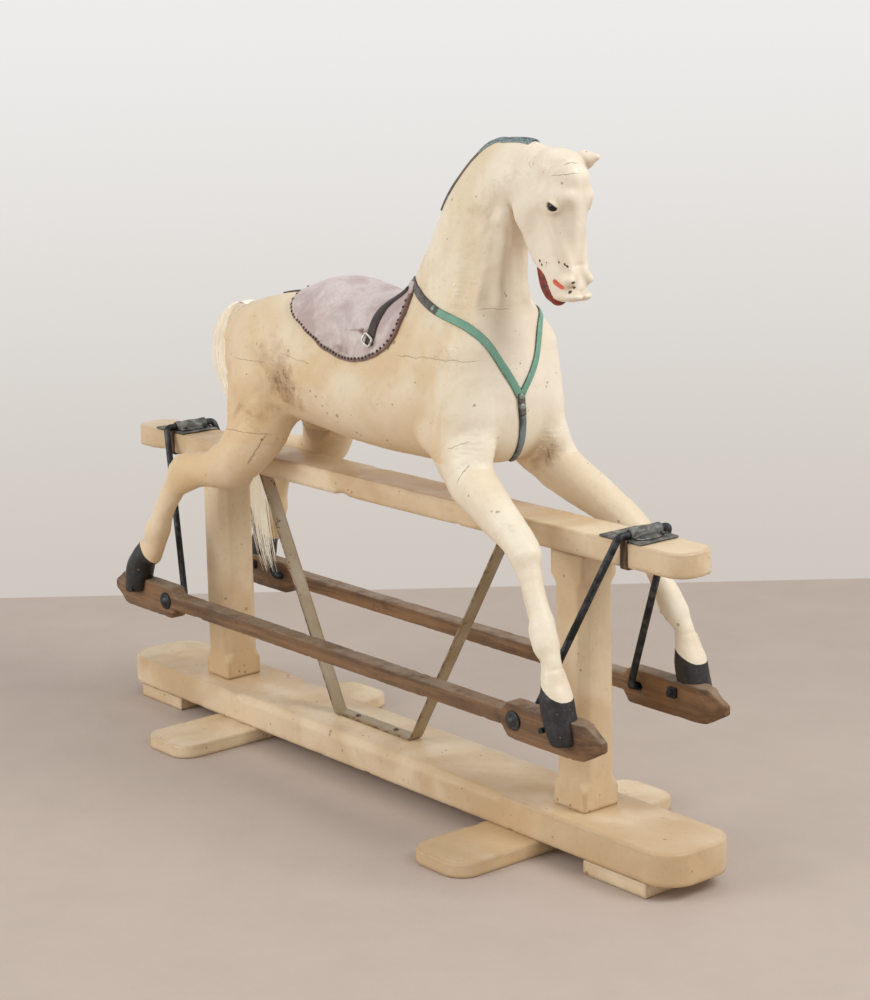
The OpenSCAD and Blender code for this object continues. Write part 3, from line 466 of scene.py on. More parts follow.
RAIL_LOW, RAIL_HIGH = (corner - HORSE_AT for corner in cad_box("right_hoof_rail"))
RAIL_SIDE, RAIL_TOP = float(-RAIL_LOW[1]), float(RAIL_HIGH[2])


def swell(field, p, rods):
    """Melts each swelling into the field."""
    for start, end, r0, r1, k in rods:
        field = soft_min(field, rod(p, start, end, r0, r1), k)
    return field


def fore_limb(p):
    """Foreleg with its knee, tendons and fetlock, and a hoof that is flat below."""
    heel = (-(p[0] - 505) * 28 - (p[2] - 20) * 19) / 33.8
    hoof = soft_max(soft_max(loft(FORE_HOOF, p, 2.3, cap=(8, 8)), heel, 10), FORE_SOLE - p[2], 3)
    return soft_min(swell(loft(FORELEG, p, cap=(14, 20)), p, FORE_BONES), hoof, 2.0)


def hind_limb(p):
    """Hind leg with its hock, tendons and fetlock, and a hoof."""
    hoof = soft_max(loft(HIND_HOOF, p, 2.3, cap=(8, 8)), HIND_SOLE - p[2], 3)
    return soft_min(swell(loft(HIND_LEG, p, cap=(14, 20)), p, HIND_BONES), hoof, 2.0)


def above_fore(p):
    """Height above the slanting joint of the forelegs."""
    return (p[2] - 328) * np.cos(FORE_SLOPE) - (p[0] - 222) * np.sin(FORE_SLOPE)


def trunk(p):
    """Barrel, breast, haunches and limbs melted together, with the hollow of each flank. Far from a limb its field is
    left out."""
    p = (p[0], np.abs(p[1]), p[2])
    field = swell(loft(TORSO, p, 2.35, cap=(37, 57)), p, BREAST + HAUNCH)
    if np.max(p[0]) > 150:
        field = soft_min(field, fore_limb(p), 12)
    if np.min(p[0]) < -100:
        field = soft_min(field, hind_limb(p), 14)
    return soft_max(field, -egg(p, [-148, 116, 342], [32, 24, 46]), 26)


def neck(p):
    """Arched neck, narrow at the crest, with carved flutes beside the throat."""
    p = (p[0], np.abs(p[1]), p[2])
    field = swell(loft(NECK, p, 2.0, 0.22, (10, 90)), p, NECK_FLUTES)
    for start, end, r in (([274, 58, 672], [262, 68, 560], 14), ([312, 42, 650], [303, 48, 560], 13)):
        field = soft_max(field, -rod(p, start, end, r, r + 2), 16)
    return field


def upper_lip(p):
    """Distance behind and below the line of the upper lip, from the corner of the mouth to the chin."""
    line = np.interp(-p[2], [-625, -613, -607, -601, -591, -573, -566], [325, 371, 383, 391, 397, 404, 411])
    return 0.85 * (line - p[0])


# The face's forms in order: joined on or cut out, the form and its measures, and the width of the melt
FACE = [(soft_min, egg, [358, 12, 690], [28, 22, 32], 12), (soft_min, rod, [404, 21, 712], [434, 17, 710], 10, 9, 16),
        (soft_min, rod, [408, 24, 690], [438, 12, 606], 9, 4, 12),
        (soft_min, rod, [398, 8, 748], [432, 5, 737], 20, 13, 14),
        (soft_max, egg, [396, 41, 650], [24, 13, 34], 16), (soft_max, egg, [394, 45, 730], [20, 12, 16], 14),
        (soft_max, egg, [450, 28, 672], [10, 10, 26], 12), (soft_min, egg, [432, 17, 597], [14, 9, 9], 6),
        (soft_min, egg, [430, 8, 574], [20, 14, 8], 6)]


def skull(p):
    """Long face with cheek plates, brows, face bones, nostrils and lips; the lower jaw stands behind an open lip."""
    p = (p[0], np.abs(p[1]), p[2])
    field = loft(SKULL, p, 2.4, cap=(20, 10))
    for join, form, *sizes, width in FACE:
        part = form(p, *sizes)
        field = join(field, part if join is soft_min else -part, width)
    field = soft_max(field, upper_lip(p), 2)
    jaw = soft_max(loft(LOWER_JAW, p, 2.2), 3.4 - upper_lip(p) - np.clip((p[2] - 606) / 2, 0, 9), 2)
    field = soft_min(field, jaw, 1.2)
    field = soft_min(field, teeth(p), 1.0)
    return soft_max(field, -nostril(p), 2.5)


def nostril(p):
    """Distance to the slanting hollow of a nostril."""
    return rod(p, [414, 25, 593], [427, 22, 587], 4.2, 3.2)


def teeth(p):
    """A low row of teeth behind the upper lip."""
    row = rod(p, [396, 15, 589], [403, 14, 575], 3.6, 3.2)
    return row + np.sin(p[2] * 0.85) * 0.35


def socket(p):
    """The ball of the eye, a little larger than the glass."""
    return ball(p, EYE, EYE_R + 0.4)


def lids(p):
    """Two eyelids: a shell round the glass, open in an almond that slants down to the front."""
    x, y, z = p[0] - EYE[0], p[1] - EYE[1], p[2] - EYE[2]
    shell = np.abs(ball(p, EYE, EYE_R + 1.6)) - 1.4
    along, rise = (0.89 * x - 0.45 * z), (0.45 * x + 0.89 * z)
    opening = np.hypot(along / 11.0, rise / 5.2) - 1
    return soft_max(shell, -opening * 5, 1.2)


def ear(p):
    """The one ear that is left: a blunt leaf that lies forward over the poll, hollow on its outer side."""
    leaf = soft_min(rod(p, [402, 18, 750], [426, 25, 757], 13, 12), rod(p, [426, 25, 757], [448, 26, 762], 12, 5), 6)
    return soft_max(leaf, -rod(p, [414, 37, 757], [446, 35, 764], 7, 3), 3)


def ear_stump(p):
    """The low broken root of the other ear."""
    return soft_max(egg(p, [400, -19, 750], [13, 10, 13]), p[2] - 761 - 0.6 * np.sin(p[0] * 0.8), 1.5)


def head(p):
    """Head with its throat, ear, eye sockets and lids."""
    q = (p[0], np.abs(p[1]), p[2])
    field = soft_min(neck(p), skull(p), 10)
    field = soft_min(soft_min(field, ear(p), 4), ear_stump(p), 5)
    return soft_min(soft_max(field, -socket(q), 1.0), soft_max(lids(q), field - 8.0, 1.0), 5)


def whole(p):
    """The horse without its head, which the leather lies on."""
    return soft_min(trunk(p), neck(p), 24)


def head_side(p):
    """Negative in front of the steep joint behind the cheeks."""
    upper = -((p[0] - 318) * 168 - (p[2] - 662) * 22) / 169.4
    lower = -((p[0] - 318) * 22 + (p[2] - 662) * 8) / 23.4
    return np.where(p[2] > 662, upper, np.maximum(lower, 326 - p[0]))


def rail_space(p):
    """Negative in the room that the hoof rails take, which the hooves lap over."""
    return np.maximum(np.abs(p[1]) - RAIL_SIDE - 0.3, p[2] - RAIL_TOP - 0.3)


def fore_wood(p):
    """Negative in the forelegs' own wood: under the slanting joint and outside the middle of the body block."""
    return np.maximum(np.maximum(above_fore(p), CORE - np.abs(p[1])), 150 - p[0])


def hind_wood(p):
    """Negative in the hind legs' own wood."""
    return np.maximum(np.maximum(p[2] - HIND_Z, CORE - np.abs(p[1])), p[0] + 100)


def leg_cut(wood):
    """The cut that frees a leg: its own wood, without the room of the rail."""
    return lambda p: np.maximum(wood(p) + HAIRLINE, -rail_space(p))


def glue(p):
    """Height above the joint of the two body blocks, which climbs towards the head."""
    return p[2] - GLUE_Z - p[0] * GLUE_SLOPE


PLUG_AT = np.array((-308.0, 0.0, 462.0))
PLUG_LEAN = np.radians(35)
PLUG_AXIS = np.array((-np.cos(PLUG_LEAN), 0, np.sin(PLUG_LEAN)))


def plug_hole(p):
    """Negative in the slanting hole for the tail's plug."""
    q = [a - b for a, b in zip(p, PLUG_AT)]
    along = sum(a * b for a, b in zip(q, PLUG_AXIS))
    off = np.sqrt(sum((a - along * b) ** 2 for a, b in zip(q, PLUG_AXIS)))
    return np.maximum(off - 13.4, -along)


def body_cut(p):
    """Keeps what the legs leave of the body."""
    return np.maximum(HAIRLINE - fore_wood(p), HAIRLINE - hind_wood(p))


def upper_cut(p):
    """The upper body block."""
    joints = np.maximum(HAIRLINE - glue(p), p[2] - NECK_Z + HAIRLINE)
    return np.maximum(np.maximum(joints, body_cut(p)), -plug_hole(p))


def lower_cut(p):
    """The lower body block."""
    return np.maximum(glue(p) + HAIRLINE, body_cut(p))


def neck_cut(p):
    """The neck block."""
    return np.maximum(NECK_Z + HAIRLINE - p[2], HAIRLINE - head_side(p))


def head_cut(p):
    """The head block."""
    return head_side(p) + HAIRLINE


# ---------------------------------------------------------------- finishes


def linear(hexed):
    """A colour written as six hexadecimal digits, in linear light."""
    part = np.array([int(hexed[i:i + 2], 16) for i in (0, 2, 4)]) / 255
    return (*np.where(part <= 0.04045, part / 12.92, ((part + 0.055) / 1.055) ** 2.4), 1.0)


class Wiring:
    """Short calls for building the nodes of a material or a group. A value is a number, a tuple or a node's output."""

    def __init__(self, tree):
        self.tree = tree

    def feed(self, node, inputs):
        """Sets or links each input; a colour may be written as six hexadecimal digits."""
        for key, value in inputs.items():
            if isinstance(value, bpy.types.NodeSocket):
                self.tree.links.new(value, node.inputs[key])
            else:
                node.inputs[key].default_value = linear(value) if isinstance(value, str) else value

    def add(self, kind, inputs=None, out=0, **settings):
        """Adds a node, sets it and feeds it, and returns one of its outputs."""
        node = self.tree.nodes.new(kind)
        for key, value in settings.items():
            setattr(node, key, value)
        self.feed(node, inputs or {})
        return node.outputs[out]

    def math(self, operation, a, b=0.0, clamp=False):
        return self.add("ShaderNodeMath", {0: a, 1: b}, operation=operation, use_clamp=clamp)

    def times(self, a, b):
        return self.math("MULTIPLY", a, b)

    def most(self, a, b):
        return self.math("MAXIMUM", a, b)

    def vector(self, operation, a, b=(0, 0, 0), out=0):
        return self.add("ShaderNodeVectorMath", {0: a, 1: b}, out, operation=operation)

    def fade(self, value, low, high, to_low=0.0, to_high=1.0):
        """Smooth step of the value from low to high."""
        return self.add("ShaderNodeMapRange", {"Value": value, "From Min": low, "From Max": high, "To Min": to_low,
                                               "To Max": to_high}, interpolation_type="SMOOTHSTEP")

    def mix(self, share, a, b):
        """Colour a, with that share of colour b."""
        return self.add("ShaderNodeMix", {0: share, 6: a, 7: b}, 2, data_type="RGBA")

    def over(self, tone, mask, share, colour):
        """The tone, covered by that share of a colour where the mask is 1."""
        return self.mix(self.times(mask, share), tone, colour)

    def noise(self, vector, scale, detail=3.0, rough=0.55, bend=0.0):
        return self.add("ShaderNodeTexNoise", {"Vector": vector, "Scale": scale, "Detail": detail, "Roughness": rough,
                                               "Distortion": bend})

    def group(self, tree, **inputs):
        node = self.tree.nodes.new("ShaderNodeGroup")
        node.node_tree = tree
        self.feed(node, inputs)
        return node.outputs[0]

    def torn(self, value, cloud, depth=1.5):
        """The value with the cloud's unevenness added: value + depth (cloud - 1/2)."""
        return self.math("ADD", value, self.times(self.math("SUBTRACT", cloud, 0.5), depth))

    def place(self):
        """The point in the piece's own space, in metres."""
        return self.add("ShaderNodeTexCoord", out=3)

    def mark(self, name):
        """A corner attribute of the piece, from 0 to 1."""
        return self.add("ShaderNodeAttribute", out=2, attribute_name=name)


GROUPS = {}


def shared(name, sockets, build):
    """Makes a node group once: its inputs by name with their defaults, and one output called Mask."""
    if name not in GROUPS:
        tree = bpy.data.node_groups.new(name, "ShaderNodeTree")
        for key, value in sockets.items():
            kind = "NodeSocketFloat" if isinstance(value, float) else "NodeSocketVector"
            tree.interface.new_socket(key, in_out="INPUT", socket_type=kind).default_value = value
        tree.interface.new_socket("Mask", in_out="OUTPUT", socket_type="NodeSocketFloat")
        wiring = Wiring(tree)
        source = tree.nodes.new("NodeGroupInput")
        ends = tree.nodes.new("NodeGroupOutput")
        result = build(wiring, {key: source.outputs[key] for key in sockets})
        tree.links.new(result, ends.inputs["Mask"])
        GROUPS[name] = tree
    return GROUPS[name]


def blotches():
    """Cloudy patches that cover a given share, with soft or hard edges."""
    def build(w, i):
        cloud = w.noise(i["Vector"], i["Scale"], 4.0, 0.6, 0.4)
        edge = w.math("SUBTRACT", 0.78, w.times(i["Cover"], 0.56))
        return w.fade(cloud, w.math("SUBTRACT", edge, i["Soft"]), w.math("ADD", edge, i["Soft"]))
    return shared("blotches", {"Vector": (0.0, 0.0, 0.0), "Scale": 20.0, "Cover": 0.3, "Soft": 0.08}, build)


def crackle():
    """A net of fine cracks in old paint: the edges of bent cells, present only in patches."""
    def build(w, i):
        drift = {"Vector": i["Vector"], "Scale": w.times(i["Scale"], 0.7), "Detail": 3.0}
        bend = w.add("ShaderNodeTexNoise", drift, 1)
        bent = w.vector("ADD", i["Vector"], w.vector("MULTIPLY", w.vector("SUBTRACT", bend, (0.5, 0.5, 0.5)),
                                                     (0.012, 0.012, 0.012)))
        edge = w.add("ShaderNodeTexVoronoi", {"Vector": bent, "Scale": i["Scale"]}, feature="DISTANCE_TO_EDGE")
        line = w.fade(edge, 0.0, i["Width"], 1.0, 0.0)
        patch = w.group(blotches(), Vector=i["Vector"], Scale=11.0, Cover=i["Cover"], Soft=0.1)
        return w.times(line, patch)
    return shared("crackle", {"Vector": (0.0, 0.0, 0.0), "Scale": 60.0, "Width": 0.03, "Cover": 0.4}, build)


def specks():
    """Small spots and pits of many sizes."""
    def build(w, i):
        cell = w.add("ShaderNodeTexVoronoi", {"Vector": i["Vector"], "Scale": i["Scale"], "Randomness": 1.0}, 0)
        lot = w.noise(i["Vector"], w.times(i["Scale"], 0.35), 2.0)
        return w.math("LESS_THAN", cell, w.times(w.fade(lot, 0.5, 0.8), i["Size"]))
    return shared("specks", {"Vector": (0.0, 0.0, 0.0), "Scale": 120.0, "Size": 0.3}, build)


def grain():
    """Wood grain: noise drawn out along the board."""
    def build(w, i):
        drawn = w.vector("MULTIPLY", i["Vector"], i["Stretch"])
        broad = w.noise(drawn, w.times(i["Scale"], 0.25), 3.0, 0.6, 1.2)
        fine = w.noise(drawn, i["Scale"], 5.0, 0.7, 0.3)
        return w.math("ADD", w.times(broad, 0.5), w.times(fine, 0.5))
    return shared("grain", {"Vector": (0.0, 0.0, 0.0), "Stretch": (0.06, 1.0, 1.0), "Scale": 220.0}, build)


def edge_wear():
    """Wear that starts at an edge and is eaten inwards by noise."""
    def build(w, i):
        bite = w.noise(i["Vector"], i["Scale"], 5.0, 0.7)
        return w.fade(w.torn(i["Edge"], bite, 1.9), w.math("SUBTRACT", 1.45, i["Amount"]),
                      w.math("SUBTRACT", 1.55, i["Amount"]))
    return shared("edge wear", {"Vector": (0.0, 0.0, 0.0), "Edge": 0.0, "Scale": 60.0, "Amount": 0.3}, build)


def split():
    """One crack: a thin wandering line where a plane through a centre cuts the surface, within a reach."""
    def build(w, i):
        off = w.vector("SUBTRACT", i["Vector"], i["Centre"])
        wander = w.times(w.math("SUBTRACT", w.noise(i["Vector"], 35.0, 4.0, 0.6), 0.5), 0.012)
        height = w.math("ABSOLUTE", w.math("ADD", w.vector("DOT_PRODUCT", off, i["Normal"], 1), wander))
        line = w.fade(height, w.times(i["Width"], 0.4), i["Width"], 1.0, 0.0)
        far = w.vector("LENGTH", off, out=1)
        return w.times(line, w.fade(far, w.times(i["Reach"], 0.75), i["Reach"], 1.0, 0.0))
    return shared("split", {"Vector": (0.0, 0.0, 0.0), "Centre": (0.0, 0.0, 0.0), "Normal": (0.0, 0.0, 1.0),
                            "Reach": 0.05, "Width": 0.0006}, build)


def finish_material(name, colour, rough, height, depth, metallic=0.0, **plain):
    """A material whose colour, roughness and height vary. The roughness is given as its noise's scale and detail, its
    least and most, and the noise that already gives the most. What is the same all over goes onto the shader itself."""
    material = bpy.data.materials.new(name)
    material.use_nodes = True
    w = Wiring(material.node_tree)
    scale, detail, least, most, high = (*rough, 0.7)[:5]
    bump = w.add("ShaderNodeBump", {"Height": height(w), "Strength": 1.0, "Distance": depth})
    w.feed(material.node_tree.nodes["Principled BSDF"], {
        "Base Color": colour(w), "Roughness": w.fade(w.noise(w.place(), scale, detail), 0.3, high, least, most),
        "Normal": bump, "Metallic": metallic, **{key.replace("_", " "): value for key, value in plain.items()}})
    return material


def recolour(material, repaint):
    """Lays more colour over what a material has: repaint takes the wiring and the colour, and gives the new colour."""
    w = Wiring(material.node_tree)
    shader = material.node_tree.nodes["Principled BSDF"]
    w.feed(shader, {"Base Color": repaint(w, shader.inputs["Base Color"].links[0].from_socket)})
    return material


def paint_on_wood(name, pale, deep, dirt_and_shade, bare, splits=(), body=True, chips=0.16, seed=0.0):
    """Old oil paint: yellowed in clouds, dirty and darkened by painted shade in the hollows, lightened by painted
    highlight on the ridges, crackled and pitted, rubbed to wood where worn.
    """
    def colour(w):
        at = w.place()
        moved = w.vector("ADD", at, (seed, seed * 0.7, -seed))
        cloud = w.noise(moved, 5.0, 3.0, 0.55, 0.6)
        tone = w.mix(w.fade(cloud, 0.34, 0.68), pale, deep)
        streak = w.noise(w.vector("MULTIPLY", moved, (1.0, 1.0, 0.25)), 38.0, 4.0, 0.6)
        tone = w.over(tone, w.fade(streak, 0.5, 0.75), 0.28, deep)
        soft = w.times(w.fade(w.noise(moved, 90.0, 4.0, 0.7), 0.52, 0.8), 0.25)
        tone = w.mix(soft, tone, dirt_and_shade)
        if body:
            # A deeper tan towards the belly, on the hind legs and towards the rear
            tone = w.over(tone, w.mark("tan"), 0.55, "dcb98a")
            # Painted highlight: the front of the horse is painted paler
            tone = w.over(tone, w.mark("pale"), 0.7, "f6ecdb")
            # Painted highlight along the ridges, together with paint rubbed pale there
            tone = w.over(tone, w.mark("ridge_highlight_and_rub"), 0.35, pale)
            # Painted shade, together with dirt, darkens the hollows
            tone = w.over(tone, w.mark("hollow_shade_and_dirt"), 0.4, dirt_and_shade)
            rub = w.fade(w.torn(w.mark("wear"), w.noise(moved, 26.0, 5.0, 0.7, 0.5)), 0.32, 0.85)
            tone = w.over(tone, rub, 0.62, dirt_and_shade)
            scrape = w.noise(w.vector("MULTIPLY", moved, (1.0, 1.0, 0.6)), 95.0, 5.0, 0.75)
            scuff = w.fade(w.torn(w.times(w.mark("wear"), 0.8), scrape, 1.9), 0.55, 0.85)
            tone = w.over(tone, scuff, 0.75, bare)
        else:
            worn = w.group(edge_wear(), Vector=moved, Edge=w.mark("edge"), Scale=42.0, Amount=chips)
            tone = w.over(tone, w.fade(w.mark("edge"), 0.05, 0.9), 0.3, dirt_and_shade)
            tone = w.over(tone, worn, 0.85, bare)
        lines = w.group(crackle(), Vector=moved, Scale=58.0, Width=0.016, Cover=0.24 if body else 0.16)
        tone = w.over(tone, lines, 0.24, bare)
        spots = w.group(specks(), Vector=moved, Scale=75.0, Size=0.30)
        tone = w.over(tone, spots, 0.55, bare)
        for centre, normal, reach, width in splits:
            cut = w.group(split(), Vector=at, Centre=centre, Normal=normal, Reach=reach, Width=width)
            tone = w.over(tone, cut, 0.5, "4a3524")
        return tone

    def height(w):
        at = w.place()
        brushed = w.times(w.noise(at, 160.0, 4.0, 0.6), 0.5)
        lines = w.group(crackle(), Vector=w.vector("ADD", at, (seed, seed * 0.7, -seed)), Scale=58.0, Width=0.016,
                        Cover=0.24 if body else 0.16)
        carved = w.times(w.noise(at, 30.0, 2.0), 1.2)
        return w.math("SUBTRACT", w.math("ADD", brushed, carved), w.times(lines, 0.5))

    return finish_material(name, colour, (24.0, 4.0, 0.34, 0.58, 0.75), height, 0.0009)


def bare_wood(name, light, dark, grey, stretch, scale=150.0):
    """Bare old wood: brown grain, greyed and furred on what faces up, rubbed pale at the edges."""
    def colour(w):
        at = w.place()
        lines = w.group(grain(), Vector=at, Stretch=stretch, Scale=scale)
        tone = w.mix(w.fade(lines, 0.36, 0.62), light, dark)
        tone = w.over(tone, w.fade(w.noise(at, 9.0, 3.0), 0.45, 0.7), 0.5, light)
        up = w.add("ShaderNodeSeparateXYZ", {0: w.add("ShaderNodeNewGeometry", out=1)}, 2)
        dust = w.times(w.fade(up, 0.3, 0.9), w.fade(w.noise(at, 22.0, 5.0, 0.7), 0.3, 0.6))
        tone = w.over(tone, dust, 0.8, grey)
        worn = w.group(edge_wear(), Vector=at, Edge=w.mark("edge"), Scale=38.0, Amount=0.4)
        tone = w.over(tone, worn, 0.4, grey)
        stain = w.group(blotches(), Vector=at, Scale=16.0, Cover=0.22, Soft=0.06)
        return w.over(tone, stain, 0.5, "4a3322")

    def height(w):
        at = w.place()
        lines = w.group(grain(), Vector=at, Stretch=stretch, Scale=scale)
        return w.math("ADD", lines, w.times(w.noise(at, 45.0, 3.0), 0.8))

    return finish_material(name, colour, (40.0, 4.0, 0.5, 0.75), height, 0.0012)


def forged_iron(name, dark, light, rust, metallic=0.55):
    """Black forged iron: hammered, with grey rubbed places and a little rust."""
    def colour(w):
        at = w.place()
        tone = w.mix(w.fade(w.noise(at, 60.0, 5.0, 0.65), 0.42, 0.72), dark, light)
        return w.over(tone, w.group(blotches(), Vector=at, Scale=70.0, Cover=0.25, Soft=0.05), 0.5, rust)

    def height(w):
        at = w.place()
        dents = w.add("ShaderNodeTexVoronoi", {"Vector": at, "Scale": 95.0}, feature="SMOOTH_F1")
        return w.math("ADD", w.times(dents, 0.7), w.times(w.noise(at, 420.0, 4.0), 0.35))

    return finish_material(name, colour, (110.0, 4.0, 0.36, 0.62), height, 0.0008, metallic)


def leather(name, face, deep, rubbed, cord=0.0):
    """Strap leather: pebbled, darker in blotches and rubbed at its edges; cord is the share of tooled pattern."""
    def colour(w):
        at = w.place()
        tone = w.mix(w.fade(w.noise(at, 55.0, 4.0, 0.6), 0.4, 0.7), face, deep)
        worn = w.group(edge_wear(), Vector=at, Edge=w.mark("edge"), Scale=110.0, Amount=0.7)
        tone = w.over(tone, worn, 0.8, rubbed)
        if cord:
            tooled = w.add("ShaderNodeTexVoronoi", {"Vector": at, "Scale": 150.0}, feature="DISTANCE_TO_EDGE")
            tone = w.mix(w.times(w.fade(tooled, 0.12, 0.02), cord), tone, rubbed)
        return tone

    def height(w):
        at = w.place()
        pebble = w.add("ShaderNodeTexVoronoi", {"Vector": at, "Scale": 520.0}, feature="SMOOTH_F1")
        if cord:
            tooled = w.add("ShaderNodeTexVoronoi", {"Vector": at, "Scale": 150.0}, feature="DISTANCE_TO_EDGE")
            return w.math("ADD", w.times(pebble, 0.3), w.times(w.fade(tooled, 0.0, 0.15), 1.2))
        return w.times(pebble, 0.5)

    return finish_material(name, colour, (70.0, 3.0, 0.38, 0.6), height, 0.0006)


def hide(name):
    """Short-haired hide: mauve grey, cream where the hair is whole, rubbed to brown skin along its edge and fold."""
    def colour(w):
        at = w.place()
        hair = w.noise(w.vector("MULTIPLY", at, (1.0, 0.5, 0.18)), 420.0, 5.0, 0.75, 0.4)
        tone = w.mix(w.fade(w.noise(at, 13.0, 4.0, 0.6, 0.5), 0.36, 0.66), "dccfcb", "bba7a4")
        tone = w.over(tone, w.fade(hair, 0.42, 0.72), 0.35, "8d7673")
        rub = w.fade(w.torn(w.mark("wear"), w.noise(at, 34.0, 5.0, 0.7)), 0.42, 1.0)
        tone = w.over(tone, rub, 0.9, "6b4737")
        pink = w.group(blotches(), Vector=at, Scale=19.0, Cover=0.3, Soft=0.12)
        return w.over(tone, pink, 0.3, "b08a80")

    def height(w):
        at = w.place()
        hair = w.noise(w.vector("MULTIPLY", at, (1.0, 0.5, 0.18)), 420.0, 5.0, 0.75, 0.4)
        return w.math("ADD", w.times(hair, 0.6), w.times(w.noise(at, 70.0, 3.0), 0.8))

    return finish_material(name, colour, (60.0, 3.0, 0.5, 0.78), height, 0.0007, Sheen_Weight=0.25)


def horse_paint(name, splits=(), features=False):
    """The horse's cream paint, with black hooves, and on the head the red mouth, pale teeth and dark chips."""
    def repaint(w, tone):
        at = w.place()
        fray = w.times(w.math("SUBTRACT", w.noise(at, 150.0, 4.0, 0.7), 0.5), 0.5)

        def cover(tone, mark, colour, low=0.4, high=0.6, share=1.0, torn=1.0):
            edge = w.fade(w.math("ADD", w.mark(mark), w.times(fray, torn)), low, high)
            return w.mix(w.times(edge, share), tone, colour)

        black = w.mix(w.fade(w.noise(at, 130.0, 5.0, 0.7), 0.45, 0.75), "1d1b1b", "3a3633")
        black = w.mix(w.times(w.group(specks(), Vector=at, Scale=160.0, Size=0.38), 0.6), black, "b39a78")
        tone = cover(tone, "hoof", black)
        if features:
            tone = cover(tone, "red", w.mix(w.fade(w.noise(at, 90.0, 4.0), 0.35, 0.7), "93301e", "511710"))
            tone = cover(tone, "nostril", "d8603a")
            tone = cover(tone, "teeth", "d8cfa6")
            tone = cover(tone, "bald", "9a948d", 0.45, 0.6, 0.8)
            tone = cover(tone, "chip", "4a3a32", 0.5, 0.62, torn=1.4)
        return tone

    return recolour(paint_on_wood(name, "f0e4cb", "dfc59b", "a5835a", "7b5c3f", splits), repaint)


def glass():
    """Dark brown glass of the eyes, smooth and glossy."""
    def colour(w):
        return w.mix(w.fade(w.noise(w.place(), 130.0, 3.0), 0.4, 0.7), "15100f", "2b1a12")

    return finish_material("eye_glass", colour, (90.0, 2.0, 0.04, 0.1), lambda w: w.noise(w.place(), 60.0, 1.0),
                           0.00005, Specular_IOR_Level=0.35)


def glowing_white_hair():
    """Horsehair: cream white, greyer and yellower from strand to strand, with a faint cream glow that is painted light
    for the light passed among the strands.
    """
    def colour(w):
        tone = w.mix(w.mark("shade"), "fbf8f0", "e6dcc6")
        return w.over(tone, w.fade(w.noise(w.place(), 30.0, 3.0), 0.45, 0.7), 0.15, "cdbf9f")

    # The faint cream glow is painted light, standing in for light passed among the strands
    return finish_material("horsehair", colour, (200.0, 2.0, 0.35, 0.5), lambda w: w.noise(w.place(), 900.0, 2.0),
                           0.0002, Emission_Color="f2e8d6", Emission_Strength=0.25)


# ---------------------------------------------------------------- carving


def crisp(points, base, cut, step):
    """Settles corners on the surface, on the cut or, where both are near, on the edge where the two meet. Gives back
    the corners and which of them lie in the cut alone."""
    a, b = base.read(points), cut.read(points)
    edge = (np.abs(a) < 0.8 * step) & (np.abs(b) < 0.8 * step)
    inner = ~edge & (b > a)
    for _ in range(4):
        for lump, chosen in ((base, ~inner), (cut, edge | inner)):
            spot = points[chosen]
            points[chosen] = spot - lump.outward(spot) * np.clip(lump.read(spot), -step / 2, step / 2)[:, None]
    return points, inner


def carve(name, form, low, high, step, body, material, stands_for, at=(0, 0, 0), mirror=False, cut=None,
          marks=None, rough=0.25, seed=1):
    """Meshes a form between two corners, less a cut whose edges stay crisp. A mirrored form is worked out on one side
    and copied to the other. Marks for ridges and hollows come from the field just inside and outside the surface, and
    a slow ripple, the same wherever pieces meet, leaves the surface hand-made."""
    step = step * COARSE
    sample = half_lump if mirror else Lump
    base = sample(form, low, high, step)
    solid, inner = base, None
    if cut:
        freed = sample(cut, low, high, step)
        solid = sample(lambda p: np.float32(0), low, high, step)
        solid.grid = np.maximum(base.grid, freed.grid)
    solid.grid[[0, -1]] = solid.grid[:, [0, -1]] = solid.grid[:, :, [0, -1]] = np.maximum(step, 1)
    points, faces = net(solid)
    if cut:
        points, inner = crisp(points, base, freed, step)
    outward = base.outward(points)
    # Ridge and hollow measures: on the horse they carry painted highlight on the ridges and painted shade with dirt in
    # the hollows
    found = {"ridge_highlight_and_rub": np.clip((base.read(points - 5 * outward) + 5) / 2.5, 0, 1),
             "hollow_shade_and_dirt": np.clip((5 - base.read(points + 5 * outward)) / 2.5, 0, 1)}
    found["edge"] = found["ridge_highlight_and_rub"]
    found.update(marks(points) if marks else {})
    height = rough * ripple(points, 14, seed)
    if inner is not None:
        height[inner] = 0
    points = points + outward * height[:, None] + np.array(at)
    piece = make_piece(name, points, faces, body, material, stands_for, found)
    if cut:
        piece.data.set_sharp_from_angle(angle=np.radians(50))
    return piece


def near(points, centre, radii):
    """A soft spot from 1 at its centre to 0: exp(-|q / r|^2)."""
    q = (points - np.array(centre)) / np.array(radii)
    return np.exp(-(q * q).sum(axis=1))


# Rubbed places of the paint: share, centre and radii. Chips in the face: centre and radius
WEAR = [(0.9, (-130, -92, 392), (52, 60, 44)), (0.5, (-190, -92, 455), (70, 60, 34)),
        (0.5, (-230, -97, 340), (70, 60, 34)), (0.95, (300, 68, 326), (34, 30, 40)),
        (0.5, (-150, 92, 400), (80, 60, 60)), (0.3, (60, -90, 380), (90, 60, 50)),
        (0.4, (338, -29, 735), (34, 30, 22)), (0.35, (415, -22, 745), (26, 16, 9)),
        (0.3, (415, -112, 262), (40, 40, 40)), (0.4, (498, -126, 110), (34, 30, 40)),
        (0.45, (400, -20, 617), (20, 16, 9))]
CHIPS = [((384, -24, 620), 2.4), ((388, -24, 615), 2.0), ((398, -24, 619), 1.4), ((421, -20, 621), 1.8),
         ((432, -18, 619), 2.2), ((436, -17, 616), 1.8), ((455, -8, 626), 1.7), ((452, -9, 614), 1.7),
         ((453, -9, 609), 2.0), ((446, -15, 594), 2.4), ((442, -17, 587), 2.8), ((438, -18, 581), 2.2)]


